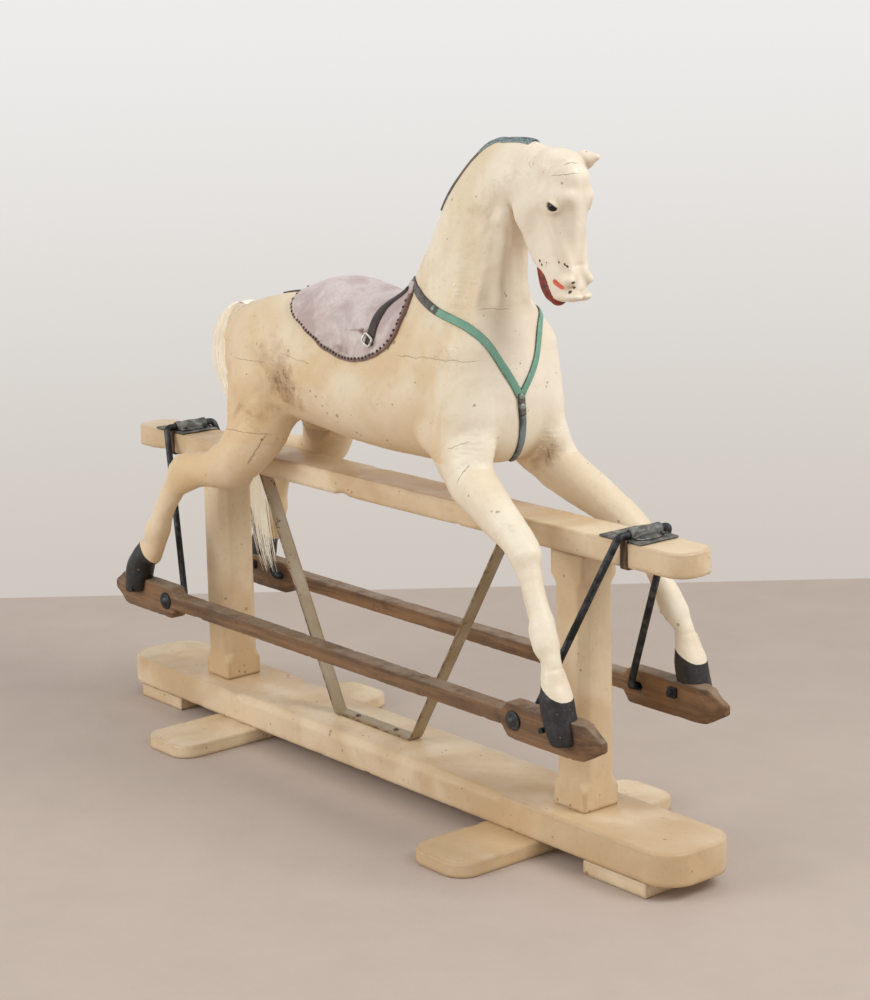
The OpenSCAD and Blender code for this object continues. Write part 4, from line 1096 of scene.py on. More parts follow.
def horse_marks(points):
    """Where the paint is rubbed, where it is a deeper tan towards the belly, hind legs and rear, where it is painted
    paler as a highlight on the front, where the hooves are black, and the colours of mouth and nostrils.
    """
    x, y, z = points.T
    p = (x, np.abs(y), z)
    fore = 68 - 0.54 * (x - 512) - z
    hind = -((x + 480) * 0.72 + (z - 66) * 0.69) + 0.3 * (np.abs(y) - 125)
    coronet = np.where(x > 0, fore, hind)
    wear = sum(share * near(points, spot, radii) for share, spot, radii in WEAR)
    # A deeper tan towards the bottom of the barrel, on the hind legs and towards the rear
    tan = np.clip((430 - z) / 130, 0, 1) * (x < 262) * (x > -345) * (z > 290) + 0.8 * (z <= 290) * (x < 0)
    tan = np.clip(tan + 0.6 * np.clip((-60 - x) / 200, 0, 1) * (z > 290), 0, 1)
    row = sum(near(points, spot, (r, 3.2 * r, 1.1 * r)) for spot, r in CHIPS)
    return {
        "hoof": np.clip(0.5 + coronet / 2.4, 0, 1) * (z < 110) * (np.abs(x) > 430),
        "wear": np.clip(wear, 0, 1),
        "tan": tan,
        # Painted highlight: paler paint on the head, the front of the neck and chest, and the forelegs
        "pale": np.clip((x - 262) / 60, 0, 1) * (z > 330) + 0.6 * (z < 330) * (x > 200),
        "red": np.clip(0.5 + (upper_lip(p) - 1.6) / 1.2, 0, 1) * np.clip((611 - z) / 3, 0, 1) * (x > 366),
        "nostril": np.clip(1.2 - nostril(p) / 1.2, 0, 1) * (x > 400) * (z < 640),
        "teeth": np.clip(0.9 - teeth(p) / 0.8, 0, 1) * (x > 385),
        "bald": near(points, (459, -15, 585), (8, 12, 8)) + 0.7 * near(points, (450, -8, 612), (6, 9, 12)),
        "chip": np.clip(1.3 * row, 0, 1),
    }


def box_form(low, high, corner=0.0, soften=3.0, cut=None):
    """A plank: a rectangle with round corners in plan, raised between two heights, with softened edges and an optional
    cut of its own."""
    mid, half = (low + high) / 2, (high - low) / 2

    def form(p):
        x, y = np.abs(p[0] - mid[0]) - half[0] + corner, np.abs(p[1] - mid[1]) - half[1] + corner
        plan = np.hypot(np.maximum(x, 0), np.maximum(y, 0)) + np.minimum(np.maximum(x, y), 0) - corner
        field = soft_max(plan, np.abs(p[2] - mid[2]) - half[2], soften)
        return soft_max(field, cut(p), 1.5) if cut else field

    return form


def chipped(form, scale, depth, seed, where=None):
    """Bites along the edges: the field rises where a ripple peaks, and the softened edge loses the most."""
    def bitten(p):
        points = np.stack(np.broadcast_arrays(*p), axis=-1)
        peak = np.maximum(ripple(points, scale, seed) - 0.35, 0) * depth
        return form(p) + (peak * where(p) if where else peak)

    return bitten


def timber(node, form, step, material, seed):
    """Carves a timber piece of the stand in the place of its CAD node."""
    low, high = cad_box(node)
    room = 2.5 * step * COARSE
    carve(node + "_wood", form, low - room, high + room, step, "stand", material, (node,), rough=0.12,
          seed=seed)


def rest_on(field, line):
    """Lays a line on the surface: short steps along the slope, each followed by a light evening of the line."""
    line = np.array(line, float)
    for i in range(14):
        line -= field.outward(line) * np.clip(field.read(line), -2.5, 2.5)[:, None]
        if i < 11:
            line[1:-1] = 0.5 * line[1:-1] + 0.25 * (line[:-2] + line[2:])
    return line


def evened(rows, times=4):
    """Rows of unit vectors, each averaged with its neighbours."""
    for _ in range(times):
        rows[1:-1] = 0.5 * rows[1:-1] + 0.25 * (rows[:-2] + rows[2:])
    return unit(rows)


def ribbon(field, line, width, thick, name, material, stands_for=(), bulge=0.0, lift=0.15):
    """A strap that lies on a form: the points across its middle line are carried onto the form along the strap's own
    normal, and the outer face stands off by the thickness. Section: nine points below and nine above, edges rounded."""
    line = rest_on(field, line)
    tangent = evened(np.gradient(line, axis=0))
    normal = evened(field.outward(line))
    side = unit(np.cross(normal, tangent))
    across = np.linspace(-1, 1, 9)
    rows = len(line)
    wide = np.broadcast_to(np.asarray(width, float), rows)[:, None, None]
    lower = (line[:, None] + side[:, None] * across[None, :, None] * wide / 2).reshape(-1, 3)
    up = np.repeat(normal, 9, axis=0)
    for _ in range(8):
        lower = lower - up * np.clip(field.read(lower), -1.2, 1.2)[:, None]
    edge = np.tile(np.abs(across) ** 6, rows)
    crown = thick * (1 - 0.45 * edge) + bulge * np.tile(1 - across ** 2, rows)
    upper = lower + up * (lift + crown)[:, None]
    lower = lower + up * lift
    rings = np.concatenate([lower.reshape(rows, 9, 3), upper.reshape(rows, 9, 3)[:, ::-1]], axis=1)
    shade = np.tile(np.r_[np.abs(across) ** 4, np.abs(across[::-1]) ** 4], rows)
    return tube_piece(name, [rings + HORSE_AT], "horse", material, stands_for, {"edge": np.r_[shade, 1, 1]})


def dome_rings(radius, height, centre, axis, sides=12):
    """A round nail head: a quarter circle turned about its axis."""
    a = np.linspace(0, np.pi / 2, 5)
    profile = [(radius * 0.85, -0.6)] + [(radius * np.cos(t) + 0.02, height * np.sin(t)) for t in a]
    return turned(profile, sides, centre, axis)


# ---------------------------------------------------------------- settings


def colour_setting(name, description, hexed):
    """A colour that the panel shows."""
    return FloatVectorProperty(name=name, description=description, subtype="COLOR", size=4, min=0, max=1,
                               default=linear(hexed))


class HORSE_PG_stand(bpy.types.PropertyGroup):
    """Colours and wear of the stand."""

    paint: colour_setting("Stand paint", "Cream paint of the stand", "e8d4b4")
    aged: colour_setting("Aged paint", "Paint where it has yellowed", "cfb28a")
    chips: FloatProperty(name="Chipped edges", description="How far the edges are worn", default=0.2, min=0, max=1,
                         subtype="FACTOR")
    edge: FloatProperty(name="Edge rounding", description="Rounding of the timber's edges", default=3.0, min=1, max=6)


class HORSE_PG_tack(bpy.types.PropertyGroup):
    """Sizes and colours of straps, saddle and hair."""

    strap: colour_setting("Breast strap", "Painted leather of the breast strap", "76a48e")
    strap_width: FloatProperty(name="Strap width", description="Width of the breast strap", default=12.0, min=10,
                               max=24)
    tack_gap: FloatProperty(name="Tack spacing", description="Distance between the saddle's tacks", default=9.0, min=6,
                            max=20)
    strands: IntProperty(name="Tail strands", description="Number of locks of hair in the tail", default=460, min=50,
                         max=1500)


class HORSE_PG_stage(bpy.types.PropertyGroup):
    """Floor, background and light."""

    floor: colour_setting("Floor", "Colour of the floor", "c3b4a9")
    wall: colour_setting("Background", "Colour of the background", "eeedeb")
    key: FloatProperty(name="Key light", description="Strength of each soft lamp", default=64.0, min=0, unit="POWER")


# ---------------------------------------------------------------- operators


class HORSE_OT_stage(bpy.types.Operator):
    """Plain floor, soft lamps, the background and the camera."""

    bl_idname = "rocking_horse.stage"
    bl_label = "Stage"

    def execute(self, context):
        settings = context.scene.horse_stage
        scene = context.scene
        turn, dip, roll = np.radians((50.8356, 10.2062, -1.3151))
        right = np.array([np.cos(turn), np.sin(turn), 0])
        back = np.array([np.sin(turn) * np.cos(dip), -np.cos(turn) * np.cos(dip), np.sin(dip)])
        up = np.cross(back, right)
        lens = bpy.data.cameras.new("camera")
        lens.lens, lens.sensor_width, lens.shift_y = 83.97, 36.0, -0.1
        axes = np.cos(roll) * right + np.sin(roll) * up, -np.sin(roll) * right + np.cos(roll) * up, back
        camera = self.stand_at("camera", lens, axes, (2.7644, -2.1537, 1.2258))
        scene.camera = camera
        scene.view_settings.view_transform = "Standard"

        away = np.array([-np.sin(turn), np.cos(turn)])
        across = np.array([np.cos(turn), np.sin(turn)])
        corners = [away * d + across * s for d, s in ((1.13, -4), (1.13, 4), (-9, 9), (-9, -9))]
        mesh = bpy.data.meshes.new("floor")
        mesh.from_pydata([(*c, 0) for c in corners], [], [(3, 2, 1, 0)])
        floor = bpy.data.objects.new("floor", mesh)
        mesh.materials.append(self.floor_material(settings))
        scene.collection.objects.link(floor)

        world = bpy.data.worlds.new("studio")
        scene.world = world
        world.use_nodes = True
        w = Wiring(world.node_tree)
        path = w.tree.nodes.new("ShaderNodeLightPath")
        seen = w.most(w.most(path.outputs["Is Camera Ray"], path.outputs["Is Glossy Ray"]),
                      path.outputs["Is Transmission Ray"])
        height = w.tree.nodes.new("ShaderNodeSeparateXYZ")
        w.tree.links.new(w.tree.nodes.new("ShaderNodeTexCoord").outputs["Generated"], height.inputs["Vector"])
        wall = w.mix(w.fade(height.outputs["Z"], -0.3, 0.02), "cdc5bd", tuple(settings.wall))
        shown = w.mix(seen, (1.0, 0.985, 0.96, 1.0), wall)
        strength = w.math("ADD", w.times(seen, 0.42), 0.58)
        shader = world.node_tree.nodes["Background"]
        world.node_tree.links.new(shown, shader.inputs["Color"])
        world.node_tree.links.new(strength, shader.inputs["Strength"])
        for name, place, power, size in (("key", (2.6, 0.9, 2.9), settings.key, 1.6),
                                         ("fill", (-1.2, -3.6, 1.9), settings.key, 2.4)):
            lamp = bpy.data.lights.new(name, "AREA")
            lamp.energy, lamp.size = power, size
            z = unit(np.array(place) - (0, 0, 0.5))
            x = unit(np.cross((0, 0, 1), z))
            self.stand_at(name, lamp, (x, np.cross(z, x), z), place)
        return {"FINISHED"}

    @staticmethod
    def stand_at(name, data, axes, place):
        """Puts a camera or a lamp at a place with its three axes, of which the last points away from what it sees."""
        matrix = np.eye(4)
        matrix[:3, :3], matrix[:3, 3] = np.array(axes).T, place
        holder = bpy.data.objects.new(name, data)
        holder.matrix_world = Matrix(matrix.tolist())
        bpy.context.scene.collection.objects.link(holder)
        return holder

    @staticmethod
    def floor_material(settings):
        """Plain pale stone floor."""
        pale = tuple(settings.floor)
        dark = (*(0.72 * c for c in pale[:3]), 1.0)

        def colour(w):
            return w.mix(w.times(w.fade(w.noise(w.place(), 6.0, 6.0, 0.7), 0.35, 0.7), 0.16), pale, dark)

        return finish_material("floor", colour, (9.0, 3.0, 0.7, 0.85), lambda w: w.noise(w.place(), 80.0, 5.0, 0.7),
                               0.0006)


class HORSE_OT_stand(bpy.types.Operator):
    """Painted timber of the stand: base, feet, pads, posts and top rail."""

    bl_idname = "rocking_horse.stand"
    bl_label = "Stand timber"

    def execute(self, context):
        settings = context.scene.horse_stand
        soften = settings.edge
        pale, deep = tuple(settings.paint), tuple(settings.aged)

        def paint(name, seed, splits=(), chips=None):
            return paint_on_wood(name, pale, deep, "9c7d58", "6d5037", splits, body=False,
                                 chips=settings.chips if chips is None else chips, seed=seed)

        low, high = cad_box("base_board")
        post_low, post_high = cad_box("front_post")
        shoulder = post_low[0] - (post_high[0] - post_low[0])

        def base_cut(p):
            depth = 9.0 * ease((shoulder - np.abs(p[0])) / 22)
            return (np.abs(p[1]) + p[2] - high[1] - high[2] + depth) / 2 ** 0.5

        timber("base_board", chipped(box_form(low, high, 46, soften * 1.3, base_cut), 26, 1.6, 5), 3.0,
               paint("base_paint", 0.0), 11)
        feet = paint("foot_paint", 3.1, chips=0.34)
        for node, corner, round_share, scale, depth, seed in (
                ("rear_cross_foot", 34, 1.0, 22, 1.2, 15), ("front_cross_foot", 34, 1.0, 22, 1.2, 16),
                ("rear_end_pad", 2, 0.6, 20, 1.0, 25), ("front_end_pad", 2, 0.6, 20, 1.0, 26)):
            plank = box_form(*cad_box(node), corner, soften * round_share)
            timber(node, chipped(plank, scale, depth, seed), 2.4, feet, seed + 6)
        for k, node in enumerate(("rear_post", "front_post")):
            timber(node, self.post_form(node, soften), 2.4, paint(node + "_paint", 5.0 + k, chips=0.1), 41 + k)
        low, high = cad_box("top_rail")
        knot = ((0.258, 0.005, 0.477), (0.6, 0.8, 0.0), 0.016, 0.0012)

        def lower_edge(p):
            return np.clip((low[2] + 9 - p[2]) / 6, 0, 1) + 0.25

        timber("top_rail", chipped(box_form(low, high, 30, soften), 19, 4.2, 8, lower_edge), 2.4,
               paint("rail_paint", 8.2, (knot,), chips=0.24), 51)
        return {"FINISHED"}

    @staticmethod
    def post_form(node, soften):
        """A square post whose four corners carry stopped chamfers: the cut grows from nothing over a lamb's tongue."""
        low, high = cad_box(node)
        shaft_low, shaft_high = cad_box("base_board")[1][2] + 0.2, cad_box("top_rail")[0][2] - 0.2
        low[2], high[2] = shaft_low, shaft_high
        foot_stop, head_stop, tongue, depth = 24, 30, 20, 12.0
        mid, half = (low + high) / 2, (high - low) / 2

        def form(p):
            x, y = np.abs(p[0] - mid[0]), np.abs(p[1] - mid[1])
            cut = depth * ease(np.minimum(p[2] - shaft_low - foot_stop, shaft_high - head_stop - p[2]) / tongue)
            sides = soft_max(x - half[0], y - half[1], soften)
            corner = (x + y - half[0] - half[1] + cut) / 2 ** 0.5
            return np.maximum(soft_max(sides, corner, 1.6), np.abs(p[2] - mid[2]) - half[2])

        return form


class HORSE_OT_irons(bpy.types.Operator):
    """Flat brace, bracket plates and bearings, straps, swing irons, washers and the small screws."""

    bl_idname = "rocking_horse.irons"
    bl_label = "Ironwork"

    def execute(self, context):
        black = forged_iron("black_iron", "26282a", "53565a", "4f4038")
        grey = forged_iron("bracket_iron", "54544f", "94928e", "54473d")
        rust = forged_iron("strap_iron", "5a4536", "7c634d", "3d2e25", 0.35)
        for node in ("foot_screws", "brace_screws"):
            self.dress(node, rust)
        for node in ("cap_screws", "hoof_bolts", "hoof_nuts"):
            self.dress(node, black)
        self.brace(*cad_box("brace_strap"))
        for end, side in (("rear", -1), ("front", 1)):
            self.bracket(end, grey)
            self.rail_straps(end, *cad_box(end + "_rail_straps"), rust)
            self.iron(end, side, black)
            self.washers(end, black)
        return {"FINISHED"}

    @staticmethod
    def dress(node, material):
        mesh = frame["nodes"][node].data
        mesh.materials.clear()
        mesh.materials.append(material)

    @staticmethod
    def brace(low, high):
        """A flat bar bent in a wide V: its section is swept along the tabs, arms and foot with rounded bends."""
        middle, thick, width = (low[0] + high[0]) / 2, 4.0, high[1] - low[1]
        top, base, half_foot, spread, lead = high[2] - thick / 2, low[2] + thick / 2, 97.0, 303.0, 20.0
        turn = [(spread + 34, top), (spread + 2, top), (half_foot - 1, base)]
        points = [(middle - x - lead * (z < top), z) for x, z in turn]
        points += [(middle + x - lead * (z < top), z) for x, z in turn[::-1]]
        points = np.array(points, float)
        bends = [bend(*points[i - 1:i + 2], 7, 7) for i in range(1, len(points) - 1)]
        path = np.concatenate([points[:1], *bends, points[-1:]])
        path = np.concatenate([path[:1]] + [steps(*pair, 8) for pair in zip(path[:-1], path[1:])])
        line = np.stack([path[:, 0], np.zeros(len(path)), path[:, 1]], axis=1)
        w, t = width / 2, thick / 2
        section = [(-w + 1, -t), (-w, -t + 1), (-w, t - 1), (-w + 1, t), (-w / 2, t), (0, t), (w / 2, t), (w - 1, t),
                   (w, t - 1), (w, -t + 1), (w - 1, -t), (w / 2, -t), (0, -t), (-w / 2, -t)]
        section = np.array(section)
        rings, normal = swept(line, (0, 1, 0), section)
        rings = rings + normal[:, None] * (0.35 * ripple(line, 30, 3))[:, None, None]
        edge = np.tile(np.clip((np.abs(section[:, 0]) - w + 3) / 2.5, 0, 1), len(line))
        paint = paint_on_wood("brace_paint", "b3a58e", "97835f", "7d6549", "5f4635", body=False, chips=0.5, seed=9.0)

        def rusty(w, tone):
            return w.over(tone, w.group(specks(), Vector=w.place(), Scale=210.0, Size=0.62), 0.8, "6b4a33")

        tube_piece("brace_bar", [rings], "stand", recolour(paint, rusty), ("brace_strap",),
                   {"edge": np.r_[edge, 1, 1]})

    @staticmethod
    def bracket(end, material):
        """A forged plate with its bearing: a roll over the iron, with a fold and a lap beaten into it on both sides."""
        low, high = cad_box(end + "_bracket_plate")
        cap_low, cap_high = cad_box(end + "_bearing_cap")
        hub = (cap_low[0] + cap_high[0]) / 2
        top, half = cap_high[2], (cap_high[1] - cap_low[1]) / 2
        axle = cad_box(end + "_swing_iron")[1][2] - IRON_R
        mid, size = (low + high) / 2, (high - low) / 2

        def plate(p):
            x, y = np.abs(p[0] - mid[0]) - size[0], np.abs(p[1] - mid[1]) - size[1]
            waved = p[2] - mid[2] - 0.5 * np.sin(p[0] * 0.13) * np.cos(p[1] * 0.09)
            return soft_max(soft_max(x, y, 4), np.abs(waved) - size[2] + 0.4, 1.6)

        def rolls(p):
            dx, dz = p[0] - hub, p[2] - axle
            beaten = np.hypot(dx, dz) - (top - axle) + 0.3 + 0.8 * np.sin(p[1] * 0.11) ** 2
            roll = soft_max(beaten, np.abs(p[1]) - half, 3)
            fold = egg(p, [hub - 9, half * 0.42, low[2] + 6], [19, half * 0.62, 8.5])
            lap = egg(p, [hub + 13, -half * 0.15, low[2] + 4], [12, half * 0.8, 4.5])
            body = soft_min(soft_min(roll, fold, 5), lap, 4)
            return np.maximum(body, mid[2] - p[2])

        def bearing(p):
            hole = np.hypot(p[0] - hub, p[2] - axle) - IRON_R - 0.15
            return soft_max(np.maximum(rolls(p), high[2] + 0.05 - p[2]), -hole, 0.6)

        def flat(p):
            return soft_max(plate(p), low[2] + 0.02 - p[2], 0.4)

        carve(end + "_bracket_forging", flat, low - 3, high + 3, 1.5, "stand", material,
              (end + "_bracket_plate",), rough=0.15, seed=61)
        carve(end + "_bearing_forging", bearing, cap_low - (16, 3, 3), cap_high + (8, 3, 3), 1.3, "stand", material,
              (end + "_bearing_cap",), rough=0.2, seed=62)

    @staticmethod
    def rail_straps(end, low, high, material):
        """Narrow iron straps down both sides of the rail, hooked under it."""
        rail_low, rail_high = cad_box("top_rail")
        mid = (low[0] + high[0]) / 2
        section = np.array([(-6, -1.2), (-6, 1.2), (-3, 1.25), (3, 1.25), (6, 1.2), (6, -1.2), (3, -1.25),
                            (-3, -1.25)])
        straps = []
        for side in (-1, 1):
            y = side * (rail_high[1] + 1.35)
            path = [(mid, y, high[2]), (mid, y, rail_low[2] + 2), (mid, y - side * 0.4, rail_low[2] - 0.6),
                    (mid, y - side * 2, rail_low[2] - 1.3), (mid, y - side * 12, rail_low[2] - 1.35)]
            straps.append(swept(rounded_path(path, 3), (1, 0, 0), section)[0])
        tube_piece(end + "_strap_iron", straps, "stand", material, (end + "_rail_straps",))

    @staticmethod
    def iron(end, side, material):
        """A round rod, bent over the rail and down both sides, and turned out through the hoof rails."""
        low, high = cad_box(end + "_swing_iron")
        top_x, top_z = PIVOTS[0 if side < 0 else 1][0], PIVOTS[0][2]
        foot_x, foot_z = SWING_X + side * LOW_X, HORSE_AT[2]
        bend_y, foot_y = 47.5, cad_box("left_hoof_rail")[0][1] - SWING_Y - 10.4

        def half(s):
            return [(top_x, s * bend_y, top_z), (foot_x, SWING_Y + s * foot_y, foot_z),
                    (foot_x, high[1] if s > 0 else low[1], foot_z)]

        corners = [np.array(c) for c in half(-1)[::-1] + half(1)]
        path = corners[:1]
        for a, b, c in zip(corners[:-2], corners[1:-1], corners[2:]):
            trim = 10 * np.tan(np.arccos(unit(b - a) @ unit(c - b)) / 2)
            turn = bend(a, b, c, trim, 9)
            path.extend([*steps(path[-1], turn[0], 12)[:-1], *turn])
        path.append(corners[-1])
        line = np.array(path)
        radius = IRON_R - 0.12 * (1 + ripple(line, 22, 7 + side))
        rod_rings = round_rings(line, radius, 18, up=(1, 0, 0.02))
        tube_piece(end + "_iron_rod", [rod_rings], end + "_iron", material, (end + "_swing_iron",))

    @staticmethod
    def washers(end, material):
        """Dished washers, each under a burred rod end: one profile turned about the pivot."""
        low, high = cad_box(end + "_iron_washers")
        centre = (low + high) / 2
        inner = high[1] - SWING_Y - 3.0
        nose = cad_box(end + "_swing_iron")[1][1] - SWING_Y - inner
        profile = [(5.6, 0.0), (14, 0.0), (14, 1.6), (13.2, 2.5), (10.5, 2.9), (8.6, 2.9), (8.4, 3.6), (7.2, 4.8),
                   (5.2, nose - 0.3), (2.0, nose - 0.02), (0.3, nose)]
        discs = [turned(profile, 32, (centre[0], SWING_Y + side * inner, centre[2]), (0, side, 0)) for side in (-1, 1)]
        tube_piece(end + "_washer_discs", discs, end + "_iron", material, (end + "_iron_washers",))


class HORSE_OT_hoof_rails(bpy.types.Operator):
    """Bare wooden hoof rails: wide cut-off ends, a waist between, and the holes for the irons."""

    bl_idname = "rocking_horse.hoof_rails"
    bl_label = "Hoof rails"

    def execute(self, context):
        material = bare_wood("bare_wood", "8a6847", "58402b", "93806c", (0.05, 1.0, 1.0))
        for k, node in enumerate(("left_hoof_rail", "right_hoof_rail")):
            low, high = cad_box(node)
            form = chipped(self.rail_form(low, high), 17, 1.3, 33 + k)
            carve(node + "_wood", form, low - 5, high + 5, 2.0, "horse", material, (node,), rough=0.3,
                  seed=71 + k)
        return {"FINISHED"}

    @staticmethod
    def rail_form(low, high):
        """The rail's outline from the side, with blunt tips whose corners are cut off, less the irons' holes."""
        length, (middle, thick) = (high[0] - low[0]) / 2, ((low[1] + high[1]) / 2, (high[1] - low[1]) / 2)
        top, bottom = high[2] - HORSE_AT[2], HORSE_AT[2] - low[2]
        waist, shoulder = length - 194, length - 182

        def form(p):
            x, z = np.abs(p[0] - SWING_X), p[2] - HORSE_AT[2]
            upper = np.interp(x, [0, waist, shoulder, length - 30, length], [12, 12, top, top, 5])
            lower = np.interp(x, [0, waist, shoulder, length - 34, length], [-12, -12, -bottom, -bottom, -9])
            field = soft_max(z - upper, lower - z, 2) * 0.88
            bevel = np.clip((x - length + 34 + 0.6 * np.abs(z)) / 26, 0, 1) * 7.0
            side = np.abs(p[1] - middle) - thick + bevel
            field = soft_max(soft_max(field, side * 0.96, 2.4), x - length, 2.5)
            rear = np.hypot(p[0] - SWING_X + LOW_X, z) - IRON_R - 0.1
            slot = np.clip(p[0] - SWING_X - LOW_X, 0, SLOT_PLAY)
            front = np.hypot(p[0] - SWING_X - LOW_X - slot, z) - IRON_R - 0.5
            return np.maximum(field, -np.minimum(rear, front))

        return form


class HORSE_OT_horse(bpy.types.Operator):
    """The carved horse in its glued blocks: body, neck, head and four legs, with glass eyes."""

    bl_idname = "rocking_horse.horse"
    bl_label = "Carved horse"

    def execute(self, context):
        def at(x, y, z):
            return tuple((np.array((x, y, z)) + HORSE_AT) / 1000)

        # Cracks: centre, normal of the crack's plane, reach and width in metres
        splits = [(at(232, -90, 476), (-0.05, 0.0, 1.0), 0.09, 0.0007),
                  (at(-205, -100, 284), (0.78, 0.0, -0.62), 0.036, 0.0012),
                  (at(-215, -96, 426), (0.0, 0.0, 1.0), 0.05, 0.0006),
                  (at(-96, -95, 440), (0.1, 0.0, 1.0), 0.04, 0.0006),
                  (at(313, -112, 326), (0.9, 0.0, -0.42), 0.018, 0.0009),
                  (at(296, -104, 360), (-0.4, 0.0, 0.92), 0.022, 0.0007),
                  (at(312, 70, 330), (0.95, 0.0, 0.3), 0.022, 0.0014),
                  (at(-228, -100, 311), (0.0, 0.0, 1.0), 0.055, 0.0008),
                  (at(300, -34, 546), (0.0, 0.0, 1.0), 0.024, 0.0006)]
        skin = horse_paint("horse_paint", splits)
        face = horse_paint("head_paint", [(at(436, -22, 742), (-0.12, 0.0, 1.0), 0.022, 0.0008),
                                          (at(446, -12, 758), (-0.3, 0.0, 1.0), 0.018, 0.0008)], features=True)
        def block(node, form, cut, low, high, step, material=skin, mirror=False, rough=0.3):
            carve(node + "_carving", form, low, high, step, "horse", material, (node,), HORSE_AT, mirror,
                  cut, horse_marks, rough, 81)

        block("body_upper", whole, upper_cut, (-366, 0, 436), (340, 116, 556), 2.5, mirror=True)
        block("body_lower", whole, lower_cut, (-366, 0, 292), (340, 116, 488), 2.5, mirror=True)
        block("neck", whole, neck_cut, (56, 0, 544), (348, 100, 794), 2.2, mirror=True)
        block("head", head, head_cut, (304, -52, 552), (470, 52, 788), 1.4, face, rough=0.15)
        for name, wood, (x0, z0), (x1, z1) in (("foreleg", fore_wood, (176, -14), (576, 420)),
                                               ("hind_leg", hind_wood, (-564, -6), (-150, 316))):
            for side, y0, y1 in (("left", 40, 158), ("right", -158, -40)):
                block(side + "_" + name, trunk, leg_cut(wood), (x0, y0, z0), (x1, y1, z1), 2.1)
        HORSE_OT_irons.dress("glass_eyes", glass())
        return {"FINISHED"}


